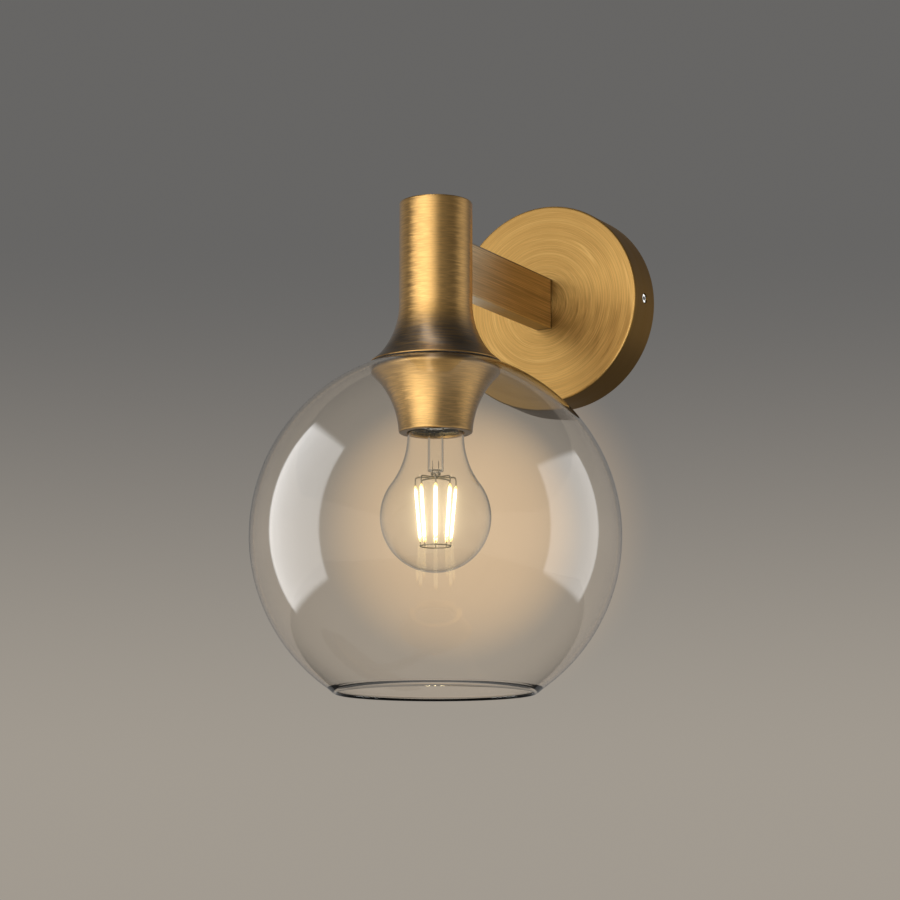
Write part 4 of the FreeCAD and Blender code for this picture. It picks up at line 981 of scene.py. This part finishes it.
def threaded_shell():
    """The lampholder's sleeve, its thread in step with the bulb's and a running gap wider."""
    z = np.linspace(SHELL_BOTTOM, BULB_TIP - 3.6, 120)
    inside = np.column_stack([CAP_RADIUS + 0.08 + 0 * z, z])
    wall = np.vstack([inside, (inside + np.array([CAP_SHEET, 0]))[::-1]])
    return turned(wall, 120, True, thread(lambda h: rise(h, *THREAD_IN)))


piece("lampholder_screw_shell", threaded_shell(), "fixture", finishes["nickel_plate"],
      ["lampholder_shell"], crease=60)


# Studio: floor far below, grey surroundings and soft lights. Directions are measured from the camera's side, which
# doesn't see the floor. Only the surroundings light it, so it shows dark in views from the side and from above.

FLOOR_HALF, FLOOR_HEIGHT = 6.0, -2.3
corners = [(x * FLOOR_HALF, y * FLOOR_HALF, FLOOR_HEIGHT) for x, y in ((-1, -1), (1, -1), (1, 1), (-1, 1))]
mesh = bpy.data.meshes.new("studio_floor")
mesh.from_pydata(corners, [], [(0, 1, 2, 3)])
floor = new_object("studio_floor", mesh)
s = Finish("pale_floor")
s.set(Base_Color=s.mix(s.noise(s.place(), 3.0, 3.0), (0.52, 0.51, 0.50), (0.57, 0.56, 0.55)), Roughness=0.85)
mesh.materials.append(s.material)

LIT_POINT = Vector((0.0, AXIS_Y * MM, -0.10))
TO_CAMERA = Vector((math.sin(VIEW_TURN), -math.cos(VIEW_TURN), 0))
TO_RIGHT = Vector((math.cos(VIEW_TURN), math.sin(VIEW_TURN), 0))

# Pieces that have lights of their own; all other meshes are in the group solid
GROUPS = {"glass": ("globe_glass_wall",), "bulb": ("bulb_glass_wall", "bulb_stem_glass"), "cup": ("cup_surface",),
          "canopy": ("canopy_surface",), "arm": ("arm_bar",), "screw": ("canopy_lock_screws",)}
groups = {name: bpy.data.collections.new(name) for name in [*GROUPS, "solid"]}
nothing = bpy.data.collections.new("nothing")
for thing in list(bpy.context.scene.objects):
    if thing.type == "MESH":
        home = next((name for name, members in GROUPS.items() if thing.name in members), "solid")
        groups[home].objects.link(thing)


def softbox(name, lights, azimuth, elevation, distance, width, height, radiance, soft=0.5, shadows=True):
    """Rectangular light that faces the lamp. Its power is radiance * pi * area, and its radiance falls off towards
    the edges: f(u) f(v), with f(t) rising smoothly from 0 to 1 over the share soft of the width at both sides."""
    light = bpy.data.lights.new(name, "AREA")
    light.shape = "RECTANGLE"
    light.size, light.size_y = width, height
    light.energy = radiance * math.pi * width * height
    n = Nodes(light)
    spot = n.split(n.node("NewGeometry").outputs["Parametric"])
    fades = [n.smooth(n.maths("PINGPONG", spot[i], 0.5), 0.0, soft) for i in range(2)]
    n.put(n.tree.nodes["Emission"], "Strength", n.times(*fades))
    thing = new_object(name, light)
    a, e = math.radians(azimuth), math.radians(elevation)
    way = (TO_CAMERA * math.cos(a) + TO_RIGHT * math.sin(a)) * math.cos(e) + Vector((0, 0, math.sin(e)))
    thing.location = LIT_POINT + way * distance
    thing.rotation_euler = way.to_track_quat("Z", "Y").to_euler()
    thing.visible_camera = False
    thing.visible_transmission = False
    thing.light_linking.receiver_collection = groups[lights]
    if not shadows:
        thing.light_linking.blocker_collection = nothing


# Each light in the order of softbox: name, group, azimuth, elevation, distance, width, height, radiance, ...
LIGHTS = (
    ("key", "solid", -40, -14, 0.8, 2.4, 3.4, 2.45),
    ("front", "solid", 15, -14, 0.8, 1.5, 3.0, 0.12),
    ("overhead", "solid", -39, 72, 0.8, 0.32, 1.1, 2.6),
    ("rim_right", "solid", 94, -5, 0.85, 1.2, 2.4, 0.58),
    ("left_fill", "solid", -125, 0, 1.2, 2.0, 2.2, 0.18),
    ("cup_key", "cup", -41, -22, 0.8, 2.0, 2.2, 2.2),
    ("cup_left", "cup", -110, -35, 0.9, 1.8, 2.4, 0.48),
    ("cup_front", "cup", 15, -35, 0.8, 1.5, 2.4, 0.10),
    ("cup_right", "cup", 98, -38, 0.85, 1.3, 2.4, 0.70),
    ("cup_fill", "cup", 0, -62, 0.8, 3.0, 1.5, 0.20, 0.5, False),
    ("canopy_key", "canopy", -53, 8, 0.85, 2.6, 2.2, 0.55, 0.4),
    ("canopy_fill", "canopy", -53, 8, 0.85, 2.6, 2.2, 2.1, 0.4, False),
    ("canopy_edge", "canopy", -14, 12, 0.85, 0.8, 1.8, 1.7, 0.5, False),
    ("arm_glow", "arm", 127, 13, 1.2, 1.5, 1.5, 0.36, 0.3),
    ("arm_fill", "arm", 127, 13, 1.2, 1.5, 1.5, 0.12, 0.3, False),
    ("arm_under", "arm", 180, -14, 1.0, 1.2, 1.2, 0.4, 0.3, False),
    ("window_left", "glass", -95, 8, 1.3, 1.2, 1.9, 5.0, 0.07),
    ("window_right", "glass", 93, 4, 1.3, 1.1, 1.45, 3.3, 0.07),
    ("bulb_window_left", "bulb", -95, 8, 1.3, 1.5, 2.0, 1.3, 0.4),
    ("bulb_window_right", "bulb", 93, 4, 1.3, 1.5, 1.8, 1.0, 0.4),
    ("screw_glint", "screw", 127, 14, 0.9, 0.6, 0.6, 3.0, 0.3),
)
for settings in LIGHTS:
    softbox(*settings)

world = bpy.data.worlds.new("grey_surroundings")
bpy.context.scene.world = world
sky = Nodes(world)
direction = sky.node("TexCoord").outputs["Generated"]
height = sky.split(direction)[2]
seen = sky.node("LightPath").outputs

# The backdrop has a soft pool of the bulb's own light, and what shows through the glass is a little lighter
POOL_PLACE = Vector((0.020, AXIS_Y * MM, -0.148))
LAMPLIGHT = (0.86, 0.60, 0.36)
BULB_CROSSED = 5.5
toward = sky.vector("DOT_PRODUCT", direction, (POOL_PLACE - EYE).normalized())


def sky_ramp(start, end, low, high):
    """A colour that goes smoothly from low to high with the height of the direction."""
    return sky.mix(sky.smooth(height, start, end), low, high)


def lamplit(colour, reach, full, share):
    """Colour with lamplight on it: share of it within full degrees of the lamp, and none from reach degrees on."""
    pool = sky.smooth(toward, math.cos(math.radians(reach)), math.cos(math.radians(full)), share)
    return sky.mix(pool, colour, LAMPLIGHT)


plain = sky_ramp(0.10, 0.85, (0.18, 0.178, 0.175), (0.05, 0.0495, 0.0485))
behind = sky_ramp(0.04, 0.25, (0.36, 0.325, 0.28), (0.135, 0.132, 0.128))
through = sky_ramp(0.04, 0.25, (0.40, 0.34, 0.275), (0.25, 0.22, 0.185))
picture = sky.mix(seen["Is Camera Ray"], plain, lamplit(behind, 4.15, 0.0, 0.42))
picture = sky.mix(seen["Is Transmission Ray"], picture, lamplit(through, 4.15, 0.0, 0.75))
picture = sky.mix(sky.maths("GREATER_THAN", seen["Transmission Depth"], BULB_CROSSED), picture,
                  lamplit(through, 15.0, 3.0, 0.62))
sky.put(sky.tree.nodes["Background"], "Color", picture)

camera = bpy.data.cameras.new("camera")
camera.sensor_width = SENSOR
camera.lens = SENSOR * FOCAL_PIXELS / PHOTO_PIXELS
eye = new_object("camera", camera)
eye.location = EYE
sight = Vector((-math.sin(VIEW_TURN) * math.cos(VIEW_RISE), math.cos(VIEW_TURN) * math.cos(VIEW_RISE),
                math.sin(VIEW_RISE)))
eye.rotation_euler = sight.to_track_quat("-Z", "Y").to_euler()
camera.clip_start, camera.clip_end = 0.05, 50
bpy.context.scene.camera = eye

scene = bpy.context.scene
scene.view_settings.view_transform = "Standard"
scene.cycles.max_bounces = 24
scene.cycles.transmission_bounces = 24

scene.use_nodes = True
tree = scene.node_tree
tree.nodes.clear()
layers = tree.nodes.new("CompositorNodeRLayers")
halo = tree.nodes.new("CompositorNodeGlare")
halo.glare_type = "BLOOM"
halo.quality = "HIGH"
for socket, value in (("Threshold", 1.5), ("Strength", 1.0), ("Size", 0.25), ("Saturation", 1.0)):
    halo.inputs[socket].default_value = value
picture = tree.nodes.new("CompositorNodeComposite")
tree.links.new(layers.outputs["Image"], halo.inputs["Image"])
tree.links.new(halo.outputs["Image"], picture.inputs["Image"])
